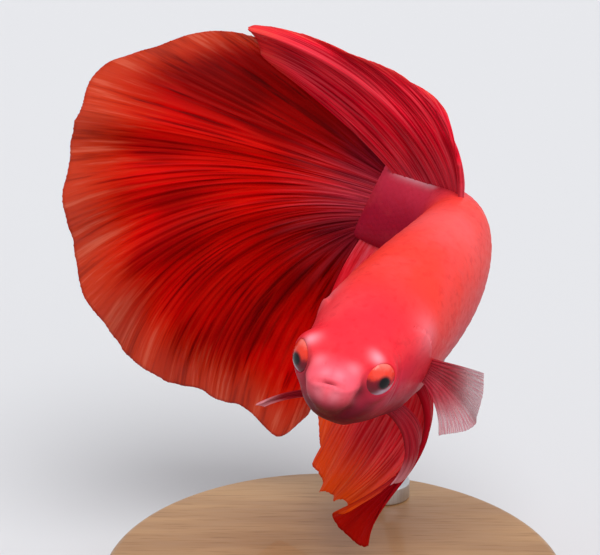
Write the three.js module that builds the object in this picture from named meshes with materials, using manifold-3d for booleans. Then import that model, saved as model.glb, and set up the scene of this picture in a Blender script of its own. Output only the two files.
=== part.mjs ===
// A male betta (Siamese fighting fish) with halfmoon fins, turning hard to its right, on a small
// display stand. Millimetres, +Z up, the origin at the centre of the stand's underside. The fish
// looks towards -Y, and its left side faces +X.
import * as THREE from "three";
import { mergeVertices } from "three/addons/utils/BufferGeometryUtils.js";
import Module from "manifold-3d";

const wasm = await Module();
wasm.setup();

// ---------------------------------------------------------------- driving dimensions

// The body: a centreline that turns, and an oval section carried along it.
const BODY_LENGTH = 42; // snout to the end of the fleshy tail stalk
const SNOUT = [-1.05, -21.4, 28.7]; // tip of the snout
const CENTRELINE_STEP = 0.1;

// Heading of the centreline, from snout to tail: [distance, yaw, pitch, roll], in degrees.
// Yaw 90 runs straight back along +Y, and 180 runs to the fish's right, along -X.
const HEADING = [
  [0, 77, 1, 9.5],
  [9, 66, 2, 11.5],
  [18, 65, 3.5, 14],
  [26, 69, 5, 11.5],
  [32, 97, 8, 8],
  [37, 145, 14, 4],
  [42, 170, 24, 0],
];

// Section of the body: [distance, height above the centreline, depth below it, half width].
const SECTIONS = [
  [0, 0.35, 0.5, 0.6],
  [1, 0.8, 2.0, 1.8],
  [3, 2.0, 3.6, 2.8],
  [6, 3.4, 5.0, 3.65],
  [10, 4.6, 6.1, 4.35],
  [14, 5.4, 6.7, 4.6],
  [20, 6.0, 6.8, 4.35],
  [27, 5.8, 6.3, 3.75],
  [32, 4.9, 5.1, 3.0],
  [38, 3.9, 3.9, 1.7],
  [42, 3.9, 3.9, 1.0],
];
const ROUNDNESS = 0.92; // 1 is an ellipse, and less is squarer
const HEAD_END = 11.5;
const TRUNK_END = 32;
const GAP = 0.3; // between neighbouring solids
const BODY_SIDES = 24;
const HEAD_RINGS = 12;
const TRUNK_RINGS = 12;
const STALK_RINGS = 9;

// The mouth is upturned: a slit that starts on top of the snout, at top over the centreline there,
// and falls backwards, with the jaw below it. The jaw is cut from the head by a cube of size.
const MOUTH = { top: 1.1, slope: -45, length: 3.4, size: 12 };

// A gill cover: a thin plate over the cheek, inside an oval seen from the side. The oval is the
// section of a post that stands out sideways, with its middle at side from the centreline.
const GILL_COVER = { at: 8.7, height: -1, halfLength: 2.6, halfHeight: 3.7, out: 0.3, depth: 0.3 };
const CHEEK_POST = { side: 5, length: 8, sides: 16 };

const EYE = { at: 4.2, side: 2.6, height: 0.4, radius: 1.5, sides: 16, rings: 9 };

// Fins. A ray starts at [distance, height] on the body, at side, and runs off at an angle in the
// fish's upright plane (0 is straight back, 90 is up) and an angle to its left. Both angles turn
// along the ray, by their bends times the way along it to the power bendLaw, and by their curls
// times the square of the way along it.
// Row: [place across the fin 0..1, distance, height, side, angle, left angle, length, bend,
// left bend, curl, left curl], and a fin whose rays don't curl leaves the last two out.
const RAY_STEPS_PER_RING = 3;
const CAUDAL_FIN = {
  rows: [
    [0.0, 41.2, 3.3, 0, 31, 6, 16.8, -18, -20],
    [0.125, 41.2, 2.6, 0, 11, -21, 24.2, -8, 21],
    [0.215, 41.2, 1.9, 0, 4, -28, 28.1, -12, 16],
    [0.25, 41.2, 1.6, 0, 3, -29, 28.0, -14, 14],
    [0.375, 41.2, 0.6, 0, 2, -27, 28.6, -41, 4],
    [0.5, 41.2, -0.4, 0, -5, -28, 28.2, -63, 5],
    [0.625, 41.2, -1.3, 0, -12, -25, 27.4, -86, 13],
    [0.75, 41.2, -2.1, 0, -29, -17, 24.6, -77, 13],
    [0.875, 41.2, -2.8, 0, -57, -3, 22.0, -46, -1],
    [0.94, 41.2, -3.1, 0, -88, 10, 22.2, -6, -20],
    [1.0, 41.2, -3.4, 0, -101, 13, 19.6, 8, -18],
  ],
  bendLaw: 1,
  columns: 37,
  rings: 9,
  thickness: [0.9, 0.5],
  pleats: { count: 7, height: 0.5 },
  lobes: { count: 9, depth: 0.015 },
};
const DORSAL_FIN = {
  rows: [
    [0.0, 29.8, 4.9, 0, 77, -8, 8.0, -21, -21],
    [0.15, 30.7, 4.7, 0, 84, -1, 12.4, -25, -61],
    [0.33, 32.1, 4.35, 0, 90, -18, 17.2, -55, -46],
    [0.55, 34.0, 3.7, 0, 88, -30, 24.0, -84, -24],
    [0.78, 37.0, 3.2, 0, 66, -36, 20.4, -64, 18],
    [1.0, 40.0, 2.9, 0, 41, -35, 15.5, -30, 36],
  ],
  bendLaw: 0.8,
  columns: 21,
  rings: 9,
  thickness: [0.8, 0.5],
  pleats: { count: 3, height: 0.3 },
  lobes: { count: 5, depth: 0.02 },
};
const ANAL_FIN = {
  rows: [
    [0.0, 18.0, -5.6, 0, -65, 80, 19.8, -90, -300, 67, 231],
    [0.1, 19.5, -5.65, 0, -98, 81, 19.6, 28, -294, -38, 206],
    [0.2, 21.5, -5.7, 0, -131, 71, 18.8, 132, -225, -135, 111],
    [0.3, 23.5, -5.5, 0, -150, 48, 17.2, 166, -150, -141, 67],
    [0.45, 27.0, -5.0, 0, -137, -3, 18.2, 57, -9, -23, -19],
    [0.62, 31.0, -4.2, 0, -130, -34, 20.5, 41, 33, -6, -18],
    [0.82, 35.0, -3.2, 0, -103, -43, 20.6, 8, 35, 10, -6],
    [0.91, 37.8, -3.15, 0, -88, -32, 18.9, -14, 22, 4, -6],
    [1.0, 40.5, -3.1, 0, -74, -18, 15.8, -42, 12, 0, -8],
  ],
  bendLaw: 1,
  columns: 25,
  rings: 9,
  thickness: [0.8, 0.5],
  pleats: { count: 5, height: 0.35 },
  lobes: { count: 6, depth: 0.015 },
};
const PECTORAL_FIN_LEFT = {
  rows: [
    [0.0, 12.6, -0.8, 4.2, 141, 58, 6.8, 10, -13],
    [0.5, 12.6, -1.7, 4.1, 177, 67, 7.6, 12, -28],
    [1.0, 12.6, -2.6, 3.9, 185, 48, 7.0, 12, -27],
  ],
  bendLaw: 1,
  columns: 9,
  rings: 5,
  thickness: [0.6, 0.5],
  pleats: { count: 2, height: 0.1 },
  lobes: { count: 2, depth: 0.03 },
};
const PECTORAL_FIN_RIGHT = {
  rows: [
    [0.0, 12.6, -0.8, -4.2, -14, -22, 6.8, -10, 8],
    [0.5, 12.6, -1.7, -4.1, -32, -26, 7.6, -14, 8],
    [1.0, 12.6, -2.6, -3.9, -52, -22, 7.0, -16, 4],
  ],
  bendLaw: 1,
  columns: 9,
  rings: 5,
  thickness: [0.6, 0.5],
  pleats: { count: 2, height: 0.1 },
  lobes: { count: 2, depth: 0.03 },
};
const PELVIC_FIN_LEFT = {
  rows: [
    [0.0, 10.6, -5.0, 1.3, -50, 62, 9.5, -60, -88],
    [1.0, 12.0, -5.0, 1.5, -30, 62, 9.0, -60, -84],
  ],
  bendLaw: 1,
  columns: 4,
  rings: 8,
  thickness: [0.6, 0.5],
  pleats: { count: 1, height: 0.1 },
  lobes: { count: 1, depth: 0.1 },
};
const PELVIC_FIN_RIGHT = {
  rows: [
    [0.0, 10.9, -5.2, -2.2, 173, -40, 8.7, 1, 35],
    [1.0, 11.2, -5.9, -1.5, 168, -42, 9.2, 9, 32],
  ],
  bendLaw: 1,
  columns: 4,
  rings: 8,
  thickness: [0.6, 0.5],
  pleats: { count: 1, height: 0.1 },
  lobes: { count: 1, depth: 0.1 },
};

// The stand: a round wooden base, and a steel rod in a collar that leans up to the lower left
// flank, behind the anal fin.
const BASE = { radius: 20, height: 4, edge: 0.8 };
const ROD = { foot: [5.0, 14.4], radius: 0.8, at: 30, angle: -48, sink: 1, spare: 2, sides: 16 };
const COLLAR = { radius: 2.4, height: 1.8, edge: 0.3 };
const BASE_SIDES = 40;
const COLLAR_SIDES = 24;
const ROOM = 100; // a cube that holds all that stands over the base

const MATERIALS = {
  flesh: { color: 0xd83a40, roughness: 0.38, metalness: 0 },
  fin: { color: 0xb80c08, roughness: 0.45, metalness: 0 },
  clear_fin: { color: 0xd08078, roughness: 0.4, metalness: 0 },
  eye: { color: 0x2a1418, roughness: 0.12, metalness: 0 },
  wood: { color: 0xc9a36f, roughness: 0.5, metalness: 0 },
  steel: { color: 0xb9bcc0, roughness: 0.3, metalness: 1 },
};

// ---------------------------------------------------------------- curves and the centreline

const radians = THREE.MathUtils.degToRad;
const spread = (count, from, to) =>
  Array.from({ length: count + 1 }, (_, i) => from + ((to - from) * i) / count);

// Slopes for a cubic through the points that never overshoots them (Fritsch and Carlson).
function evenSlopes(xs, ys) {
  const runs = xs.slice(1).map((x, i) => x - xs[i]);
  const rates = runs.map((run, i) => (ys[i + 1] - ys[i]) / run);
  return xs.map((_, i) => {
    if (i === 0) return rates[0];
    if (i === xs.length - 1) return rates[i - 1];
    if (rates[i - 1] * rates[i] <= 0) return 0;
    const before = 2 * runs[i] + runs[i - 1];
    const after = runs[i] + 2 * runs[i - 1];
    return (before + after) / (before / rates[i - 1] + after / rates[i]);
  });
}

// A smooth function of x through rows of [x, y, y, ...], which gives the list of ys.
function smoothThrough(rows) {
  const xs = rows.map((row) => row[0]);
  const columns = rows[0].slice(1).map((_, k) => rows.map((row) => row[k + 1]));
  const slopes = columns.map((ys) => evenSlopes(xs, ys));
  return (x) => {
    const clamped = THREE.MathUtils.clamp(x, xs[0], xs.at(-1));
    const i = Math.min(xs.filter((start) => start <= clamped).length, xs.length - 1) - 1;
    const run = xs[i + 1] - xs[i];
    const t = (clamped - xs[i]) / run;
    return columns.map(
      (ys, k) =>
        ys[i] * (1 - t) ** 2 * (1 + 2 * t) +
        ys[i + 1] * t ** 2 * (3 - 2 * t) +
        run * t * (1 - t) * (slopes[k][i] * (1 - t) - slopes[k][i + 1] * t),
    );
  };
}

const heading = smoothThrough(HEADING);
const section = smoothThrough(SECTIONS);

// The fish's own directions at a distance from the snout: back towards the tail, left and up.
function directionsAt(distance) {
  const [yaw, pitch, roll] = heading(distance).map(radians);
  const back = new THREE.Vector3(
    Math.cos(yaw) * Math.cos(pitch),
    Math.sin(yaw) * Math.cos(pitch),
    Math.sin(pitch),
  );
  const left = new THREE.Vector3(Math.sin(yaw), -Math.cos(yaw), 0).applyAxisAngle(back, roll);
  const up = left.clone().cross(back);
  return { back, left, up };
}

// Centres along the body, one each CENTRELINE_STEP, worked out by walking along the heading.
const centres = [new THREE.Vector3(...SNOUT)];
for (let s = 0.5 * CENTRELINE_STEP; s < BODY_LENGTH; s += CENTRELINE_STEP) {
  centres.push(centres.at(-1).clone().addScaledVector(directionsAt(s).back, CENTRELINE_STEP));
}

function centreAt(distance) {
  const index = THREE.MathUtils.clamp(Math.floor(distance / CENTRELINE_STEP), 0, centres.length - 2);
  const past = distance - index * CENTRELINE_STEP;
  return centres[index].clone().addScaledVector(directionsAt(distance).back, past);
}

// A point given in the fish's own directions.
function place(distance, side, height) {
  const { left, up } = directionsAt(distance);
  return centreAt(distance).addScaledVector(left, side).addScaledVector(up, height);
}

// A point on the body's skin, grown outwards: angle 0 is the left side, and 90 degrees the back.
function skinPoint(distance, angle, grow = 0) {
  const [above, below, halfWidth] = section(distance);
  const squared = (value) => Math.sign(value) * Math.abs(value) ** ROUNDNESS;
  const height = Math.sin(angle) > 0 ? above : below;
  return place(
    distance,
    squared(Math.cos(angle)) * (halfWidth + grow),
    squared(Math.sin(angle)) * (height + grow),
  );
}

// ---------------------------------------------------------------- solids

// A closed mesh from points and triangles, as a manifold-3d solid.
function solid(points, triangles) {
  return new wasm.Manifold(
    new wasm.Mesh({
      numProp: 3,
      vertProperties: new Float32Array(points.flatMap((point) => point.toArray())),
      triVerts: new Uint32Array(triangles.flat()),
    }),
  );
}

// A three.js geometry, set down by a matrix, as a manifold-3d solid.
function solidOf(geometry, matrix = new THREE.Matrix4()) {
  const bare = geometry.clone().applyMatrix4(matrix);
  bare.deleteAttribute("normal");
  bare.deleteAttribute("uv");
  const merged = mergeVertices(bare, 1e-5);
  return new wasm.Manifold(
    new wasm.Mesh({
      numProp: 3,
      vertProperties: new Float32Array(merged.getAttribute("position").array),
      triVerts: new Uint32Array(merged.getIndex().array),
    }),
  );
}

// Two triangles for each cell of a grid of rows and columns, whose columns may close on themselves.
function gridTriangles(rows, columns, first, closed, flipped = false) {
  const triangles = [];
  const last = closed ? columns : columns - 1;
  for (let i = 0; i < rows - 1; i++) {
    for (let j = 0; j < last; j++) {
      const a = first + i * columns + j;
      const b = first + i * columns + ((j + 1) % columns);
      const c = b + columns;
      const d = a + columns;
      triangles.push(flipped ? [a, c, b] : [a, b, c], flipped ? [a, d, c] : [a, c, d]);
    }
  }
  return triangles;
}

// A length of the body, with flat ends.
function bodyLength(from, to, rings, sides, grow = 0) {
  const points = spread(rings, from, to).flatMap((s) =>
    spread(sides, 0, 2 * Math.PI)
      .slice(0, sides)
      .map((angle) => skinPoint(s, angle, grow)),
  );
  const front = points.length;
  const back = front + 1;
  points.push(centreAt(from), centreAt(to));
  const triangles = gridTriangles(rings + 1, sides, 0, true, true);
  const lastRing = rings * sides;
  for (let j = 0; j < sides; j++) {
    const next = (j + 1) % sides;
    triangles.push([front, j, next], [back, lastRing + next, lastRing + j]);
  }
  return solid(points, triangles);
}

// The middle surface of a fin: the point at u across the fin and v along its ray, both 0..1.
// Each ray is walked in short steps along its turning direction. The pleats push the sheet to
// both sides, more towards its edge, and the lobes draw the ends of the rays in and out.
function finSurface({ rows, bendLaw, rings, pleats, lobes }) {
  const ray = smoothThrough(rows);
  return (u, v) => {
    const [at, height, side, angle, leftAngle, length, bend, leftBend, curl = 0, leftCurl = 0] = ray(u);
    const { back, left, up } = directionsAt(at);
    const lobed = length * (1 - lobes.depth * (0.5 + 0.5 * Math.cos(2 * Math.PI * lobes.count * u)));
    const point = place(at, side, height);
    const steps = Math.round(v * rings * RAY_STEPS_PER_RING);
    const swing = (pleats.height / lobed) * Math.sin(2 * Math.PI * pleats.count * u);
    for (let i = 0; i < steps; i++) {
      const along = ((i + 0.5) / steps) * v;
      const turned = radians(angle + bend * along ** bendLaw + curl * along ** 2);
      const leftTurn = radians(leftAngle + leftBend * along ** bendLaw + leftCurl * along ** 2);
      const turnedLeft = leftTurn + 2 * swing * along;
      const step = (lobed * v) / steps;
      point.addScaledVector(back, step * Math.cos(turnedLeft) * Math.cos(turned));
      point.addScaledVector(up, step * Math.cos(turnedLeft) * Math.sin(turned));
      point.addScaledVector(left, step * Math.sin(turnedLeft));
    }
    return point;
  };
}

// A fin: its middle surface thickened to both sides, closed round the rim.
function finSheet(fin) {
  const { columns, rings, thickness } = fin;
  const surface = finSurface(fin);
  const grid = spread(rings, 0, 1).map((v) => spread(columns - 1, 0, 1).map((u) => surface(u, v)));
  const within = (index, last) => THREE.MathUtils.clamp(index, 0, last);
  const neighbour = (i, j) => grid[within(i, rings)][within(j, columns - 1)];
  const faces = [[], []];
  grid.forEach((row, i) =>
    row.forEach((point, j) => {
      const across = neighbour(i, j + 1).clone().sub(neighbour(i, j - 1));
      const along = neighbour(i + 1, j).clone().sub(neighbour(i - 1, j));
      const normal = across.cross(along).normalize();
      const half = 0.5 * THREE.MathUtils.lerp(...thickness, i / rings);
      faces[0].push(point.clone().addScaledVector(normal, half));
      faces[1].push(point.clone().addScaledVector(normal, -half));
    }),
  );
  const count = faces[0].length;
  const triangles = [
    ...gridTriangles(rings + 1, columns, 0, false),
    ...gridTriangles(rings + 1, columns, count, false, true),
  ];
  const rim = [
    ...spread(columns - 2, 0, columns - 2),
    ...spread(rings - 1, 0, rings - 1).map((i) => i * columns + columns - 1),
    ...spread(columns - 2, 0, columns - 2).map((j) => rings * columns + columns - 1 - j),
    ...spread(rings - 1, 0, rings - 1).map((i) => (rings - i) * columns),
  ];
  rim.forEach((a, k) => {
    const b = rim[(k + 1) % rim.length];
    triangles.push([a, a + count, b + count], [a, b + count, b]);
  });
  return solid([...faces[0], ...faces[1]], triangles);
}

// The box below the slit of the mouth, from the snout back to the corner of the jaw.
function jawBox(grow) {
  const { back, left, up } = directionsAt(0);
  const { top, slope, length, size } = MOUTH;
  const turn = new THREE.Matrix4().makeBasis(back, left.clone().negate(), up);
  const tilt = new THREE.Matrix4().makeRotationY(radians(-slope));
  const corner = new THREE.Vector3(length + grow - 0.5 * size, 0, grow - 0.5 * size);
  const toCorner = new THREE.Matrix4().makeTranslation(corner);
  const toTop = new THREE.Matrix4().makeTranslation(place(0, 0, top));
  const matrix = toTop.multiply(turn).multiply(tilt).multiply(toCorner);
  return solidOf(new THREE.BoxGeometry(size, size, size), matrix);
}

// The region of a gill cover: an oval post that stands out sideways from the cheek.
function cheekPost(side, grow) {
  const { back, left, up } = directionsAt(GILL_COVER.at);
  const post = new THREE.CylinderGeometry(1, 1, CHEEK_POST.length, CHEEK_POST.sides);
  const matrix = new THREE.Matrix4()
    .makeBasis(
      back.clone().multiplyScalar(GILL_COVER.halfLength + grow),
      left,
      up.clone().multiplyScalar(-(GILL_COVER.halfHeight + grow)),
    )
    .setPosition(place(GILL_COVER.at, side * CHEEK_POST.side, GILL_COVER.height));
  return solidOf(post, matrix);
}

// A ball for the eye, or for its socket.
function ball(side, radius) {
  const centre = place(EYE.at, side * EYE.side, EYE.height);
  const matrix = new THREE.Matrix4().makeTranslation(centre);
  return solidOf(new THREE.SphereGeometry(radius, EYE.sides, EYE.rings), matrix);
}

// A rod from its foot on the base up into the flank, with some length to spare at both ends.
function rod(radius) {
  const foot = new THREE.Vector3(...ROD.foot, BASE.height);
  const top = skinPoint(ROD.at, radians(ROD.angle), -ROD.sink);
  const along = top.clone().sub(foot);
  const turn = new THREE.Quaternion().setFromUnitVectors(
    new THREE.Vector3(0, 1, 0),
    along.clone().normalize(),
  );
  const matrix = new THREE.Matrix4().compose(
    foot.clone().lerp(top, 0.5),
    turn,
    new THREE.Vector3(1, 1, 1),
  );
  const length = along.length() + 2 * ROD.spare;
  return solidOf(new THREE.CylinderGeometry(radius, radius, length, ROD.sides), matrix);
}

// A turned disc with a small bevel at its top edge, standing at a height.
function disc({ radius, height, edge }, sides, x, y, z) {
  const profile = [
    [0, 0],
    [radius, 0],
    [radius, height - edge],
    [radius - edge, height],
    [0, height],
  ].map(([across, up]) => new THREE.Vector2(across, up));
  const matrix = new THREE.Matrix4().makeTranslation(x, y, z).multiply(
    new THREE.Matrix4().makeRotationX(Math.PI / 2),
  );
  return solidOf(new THREE.LatheGeometry(profile, sides), matrix);
}

// ---------------------------------------------------------------- the parts

const LEFT = 1;
const RIGHT = -1;
const sides = [
  ["left", LEFT],
  ["right", RIGHT],
];

const allRings = HEAD_RINGS + TRUNK_RINGS + STALK_RINGS;
const bodyAndGap = bodyLength(0, BODY_LENGTH + GAP, allRings, BODY_SIDES, GAP);
const parts = [];
const add = (name, material, shape) => parts.push({ name, material, shape });

// The flesh: the head without its jaw, gill covers and sockets, then the trunk and the stalk.
const headLength = (grow) => bodyLength(0, HEAD_END, HEAD_RINGS, BODY_SIDES, grow);
const headWhole = headLength(0);
const cheekSkin = headLength(GILL_COVER.out);
const cheekCore = headLength(-GILL_COVER.depth);
const cheekBed = headLength(-GILL_COVER.depth - GAP);
let head = headWhole.subtract(jawBox(GAP));
for (const [name, side] of sides) {
  head = head.subtract(cheekPost(side, GAP).subtract(cheekBed)).subtract(ball(side, EYE.radius + GAP));
  add(`gill_cover_${name}`, "flesh", cheekPost(side, 0).intersect(cheekSkin).subtract(cheekCore));
  add(`eye_${name}`, "eye", ball(side, EYE.radius));
}
add("head", "flesh", head);
add("lower_jaw", "flesh", headWhole.intersect(jawBox(0)));
add("trunk", "flesh", bodyLength(HEAD_END + GAP, TRUNK_END, TRUNK_RINGS, BODY_SIDES));
add("tail_stalk", "flesh", bodyLength(TRUNK_END + GAP, BODY_LENGTH, STALK_RINGS, BODY_SIDES));

// The fins, cut off where they meet the flesh.
const fins = {
  caudal_fin: CAUDAL_FIN,
  dorsal_fin: DORSAL_FIN,
  anal_fin: ANAL_FIN,
  pectoral_fin_left: PECTORAL_FIN_LEFT,
  pectoral_fin_right: PECTORAL_FIN_RIGHT,
  pelvic_fin_left: PELVIC_FIN_LEFT,
  pelvic_fin_right: PELVIC_FIN_RIGHT,
};
for (const [name, fin] of Object.entries(fins)) {
  const material = name.startsWith("pectoral") ? "clear_fin" : "fin";
  add(name, material, finSheet(fin).subtract(bodyAndGap));
}

// The stand.
const aboveBase = new THREE.Matrix4().makeTranslation(0, 0, BASE.height + 0.5 * ROOM);
const upperSpace = solidOf(new THREE.BoxGeometry(ROOM, ROOM, ROOM), aboveBase);
const collar = disc(COLLAR, COLLAR_SIDES, ...ROD.foot, BASE.height);
add("stand_base", "wood", disc(BASE, BASE_SIDES, 0, 0, 0));
add("stand_collar", "steel", collar.subtract(rod(ROD.radius + GAP)));
add("stand_rod", "steel", rod(ROD.radius).intersect(upperSpace).subtract(bodyAndGap));

// ---------------------------------------------------------------- the group

const materials = Object.fromEntries(
  Object.entries(MATERIALS).map(([name, look]) => [name, new THREE.MeshStandardMaterial({ name, ...look })]),
);
const betta = new THREE.Group();
betta.name = "betta";
for (const { name, material, shape } of parts) {
  const { vertProperties, triVerts } = shape.getMesh();
  const geometry = new THREE.BufferGeometry();
  geometry.setAttribute("position", new THREE.BufferAttribute(vertProperties, 3));
  geometry.setIndex(new THREE.BufferAttribute(triVerts, 1));
  geometry.computeVertexNormals();
  const mesh = new THREE.Mesh(geometry, materials[material]);
  mesh.name = name;
  betta.add(mesh);
}

export default betta;
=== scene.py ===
"""A male halfmoon betta, turning hard to its right, on a small display stand.

The script's own unit is the millimetre, and lay_down() turns it into Blender's metre. The body is
an oval section carried along a turning centreline, and a point of it is written in the fish's own
coordinates: distance from the snout, side (+ to its left) and height. A fin is a sheet of rays.
"""

import math

import bpy
import numpy as np
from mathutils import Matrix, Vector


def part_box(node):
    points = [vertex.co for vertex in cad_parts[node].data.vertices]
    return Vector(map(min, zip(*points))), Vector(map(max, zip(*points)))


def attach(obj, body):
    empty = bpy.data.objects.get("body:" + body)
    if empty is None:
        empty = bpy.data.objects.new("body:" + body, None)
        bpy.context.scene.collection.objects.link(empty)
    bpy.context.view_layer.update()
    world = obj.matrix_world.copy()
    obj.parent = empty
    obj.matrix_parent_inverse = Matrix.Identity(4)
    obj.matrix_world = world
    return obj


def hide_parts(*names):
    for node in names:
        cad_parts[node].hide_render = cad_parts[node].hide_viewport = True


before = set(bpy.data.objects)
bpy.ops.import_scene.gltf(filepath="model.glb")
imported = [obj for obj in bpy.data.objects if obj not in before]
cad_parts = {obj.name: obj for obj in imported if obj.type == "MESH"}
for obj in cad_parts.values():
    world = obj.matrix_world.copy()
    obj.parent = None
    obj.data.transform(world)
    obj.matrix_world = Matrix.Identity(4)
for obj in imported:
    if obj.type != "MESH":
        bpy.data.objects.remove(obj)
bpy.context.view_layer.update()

MM = 0.001

# ---------------------------------------------------------------- the fish's driving sizes

BODY_LENGTH = 42.0
SNOUT = (-1.05, -21.4, 28.7)

# [distance, yaw, pitch, roll] of the centreline, in degrees.
HEADING = [
    [0, 77, 1, 9.5],
    [9, 66, 2, 11.5],
    [18, 65, 3.5, 14],
    [26, 69, 5, 11.5],
    [32, 97, 8, 8],
    [37, 145, 14, 4],
    [42, 170, 24, 0],
]

# [distance, height above the centreline, depth below it, half width].
SECTIONS = [
    [0, 0.35, 0.5, 0.6],
    [1, 0.8, 2.0, 1.8],
    [3, 2.0, 3.6, 2.8],
    [6, 3.4, 5.0, 3.65],
    [10, 4.6, 6.1, 4.35],
    [14, 5.4, 6.7, 4.6],
    [20, 6.0, 6.8, 4.35],
    [27, 5.8, 6.3, 3.75],
    [32, 4.9, 5.1, 3.0],
    [38, 3.9, 3.9, 1.7],
    [42, 3.9, 3.9, 1.0],
]
ROUNDNESS = 0.92  # 1 is an ellipse, and less is squarer
TIP_REACH = 0.7  # added to the reach where a height is told as a share of it
COAT_DEPTH = 0.04  # how far the skin lies under the tips of the scales
NOSE = {"tip": -0.05, "end": 0.3}  # the stretch over which the snout rounds off
STALK_END = {"start": 40.6, "tip": 42.1}  # and the stretch over which the tail stalk closes
SKIN_SIDES = 232
SKIN_RINGS = {"nose": 10, "head": 150, "trunk": 190, "end": 26}
HEAD_END = 12.0

MOUTH = {
    "top": 1.1,
    "slope": -45,
    "groove": 0.13,
    "depth": 0.36,
    "open": 0.45,
    "beside": 0.35,  # the slit's share beside its open middle
    "corner": (0.4, 1.6),
    # how strongly the slit is painted dark, as the shade inside the open mouth
    "dark": 0.9,
}
LIPS = {"offset": 0.36, "width": 0.24, "height": 0.13}
NOSTRILS = [[1.9, 0.8, 0.08], [2.9, 1.2, 0.06]]  # [distance, side, radius]
# A nostril's raised rim stands at a share of its radius and is a share of it wide, and both pit and
# rim begin between two heights.
NOSTRIL_RIM = {"at": 1.6, "width": 0.6, "height": 0.02, "depth": 0.06, "starts": (0.0, 0.5)}
# A gill cover's oval: its rear part begins between two shares of its half length. The step at its
# edge rises and fades over shares of the oval, and a groove lies behind it.
GILL_COVER = {
    "at": 8.7,
    "height": -1,
    "half_length": 2.7,
    "half_height": 3.8,
    "rear": (-0.3, 0.5),
    "step": 0.2,
    "sharp": 0.05,
    "fades": 0.9,
    "groove": {"depth": 0.1, "behind": 0.04, "width": 0.05},
}
CHEEK_LINE = {"at": 6.9, "bow": 0.9, "half_height": 3.0, "depth": 0.06, "width": 0.16, "fades": 0.6}
SIDE_STARTS = (0.8, 2.0)  # from the middle, for the gill cover's edge and the cheek's line

# Soft swellings and hollows: [distance, side, height, radius, how far out].
RELIEF = [
    [2.2, 2.35, -0.7, 1.0, -0.52],
    [1.8, 1.7, -2.3, 1.0, -0.42],
    [4.4, 1.9, 2.2, 0.85, 0.18],
    [1.7, 0.0, 1.3, 0.9, 0.16],
    [0.5, 0.0, -0.9, 0.75, 0.28],
    [1.8, 0.0, -3.0, 0.8, -0.14],
    [5.6, 3.0, -2.4, 1.3, 0.14],
    [3.4, 0.0, 2.3, 1.0, -0.08],
    [10.6, 4.1, 2.0, 1.6, 0.16],
]

# Painted highlights on the skin, pale where wet skin would shine: on the lips, snout, brows, gill
# covers, back and the tail stalk's ridge. [distance, side, height, radius, how pale].
PAINTED_HIGHLIGHTS = [
    [0.2, 0.55, -0.2, 0.55, 0.25],
    [1.2, 0.5, 0.95, 0.5, 0.24],
    [2.2, 1.3, 1.3, 0.55, 0.27],
    [4.0, 2.2, 1.95, 0.5, 0.62],
    [10.6, 4.1, 2.0, 1.5, 0.3],
    [23.0, 1.2, 5.4, 3.6, 0.13],
    [40.4, 0.35, 3.7, 0.55, 0.9],
    [39.6, 0.35, 3.75, 0.55, 1.3],
    [38.8, 0.35, 3.8, 0.55, 1.5],
    [38.0, 0.35, 3.83, 0.55, 1.5],
    [37.2, 0.35, 3.86, 0.55, 1.4],
    [36.4, 0.45, 3.9, 0.55, 1.2],
    [35.6, 0.6, 4.0, 0.5, 0.8],
]

# Painted shade on the skin, dark crimson in the hollows before the eyes, under the snout and chin and
# low on the cheeks: [distance, side, height, radius, how dark].
PAINTED_SHADE_SPOTS = [
    [2.2, 2.4, -0.4, 0.95, 0.75],
    [1.5, 1.6, -1.8, 0.9, 0.45],
    [1.2, 0.4, -2.0, 1.0, 0.5],
    [2.4, 0.8, -3.0, 1.3, 0.35],
    [3.4, 2.9, -1.9, 0.9, 0.3],
]

# The skin round an eye: the way the socket opens, its opening in degrees, the lip and its width,
# how far the skin reaches and drops, and the heights over the eye's middle where it starts.
EYE_RIM = {
    "outward": 49,
    "up": 4,
    "opening": 57,
    "lip": 0.04,
    "lip_width": 0.12,
    "reach": 1.1,
    "drop": 0.5,
    "drop_width": 0.25,
    "starts": (-1.6, -0.8),
}
GAZE = {"left": (48, -8), "right": (36, 3)}  # outward from straight ahead, and upwards, in degrees
EYEBALL = {"flatness": 0.8, "bulge": 0.06, "spread": 0.45, "inset": 0.02, "rings": 73, "sides": 96}

# Scales: where they grow, with none near an eye or on the face below the crown, the rows round the
# body, how their sizes grow behind the head, and the shares by which they differ.
SCALES = {
    "from": 4.6,
    "to": 41.0,
    "off_eye": 0.9,
    "face": 8.0,
    "crown": 1.5,
    "round": 30,
    "pitch": 0.84,
    "least": 0.5,
    "longer": (4.0, 12.0, 0.7),  # from the first to the second distance, starting at this share
    "higher": (5.0, 13.0, 0.4),
    "uneven": (0.04, 0.15),
    "least_radius": 0.3,
}
PLATE = {
    "along": [0.0, 0.45, 0.8, 0.985, 1.0],
    "across": [-1.0, -0.975, -0.64, -0.31, 0.0, 0.31, 0.64, 0.975, 1.0],
    "arc": 1.45,
    "length": 1.7,  # as a share of the rows' pitch
    "width": 1.2,  # as a share of the way round that one plate has
    "rise": 0.028,
    "sunk": 0.8,  # how far its root lies under the skin, as a share of the rise
    "dome": 0.016,
    "thickness": 0.022,
    "patch": 0.003,  # on the OFBake map
}

MAP_MARGIN = 0.01  # left free round the OFBake map

# What a fin has unless it says otherwise. Its painted shade stands for another fin's shadow or a part
# turned from the light, and it ends between the places across it that deep gives. At its root, painted
# shade from the body begins between those of shaded. It fades out along the fin between those of
# painted_shade_fades.
FIN_BASICS = {"bend_law": 1.0, "painted_shade": (-2, -1), "shaded": (2, 3), "painted_shade_fades": (2, 3)}
PECTORAL = {
    "pleats": (2, 0.1),
    "lobes": (2, 0.03),
    "columns": 200,
    "rings": 56,
    "rays": 11,
    "branches": (0.4, 0.75, 1.2),
    "fold": 0.06,
}
PELVIC = {
    "pleats": (1, 0.1),
    "lobes": (1, 0.1),
    "columns": 60,
    "rings": 80,
    "rays": 4,
    "branches": (0.5, 1.2, 1.2),
    "fold": 0.06,
}

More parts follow.
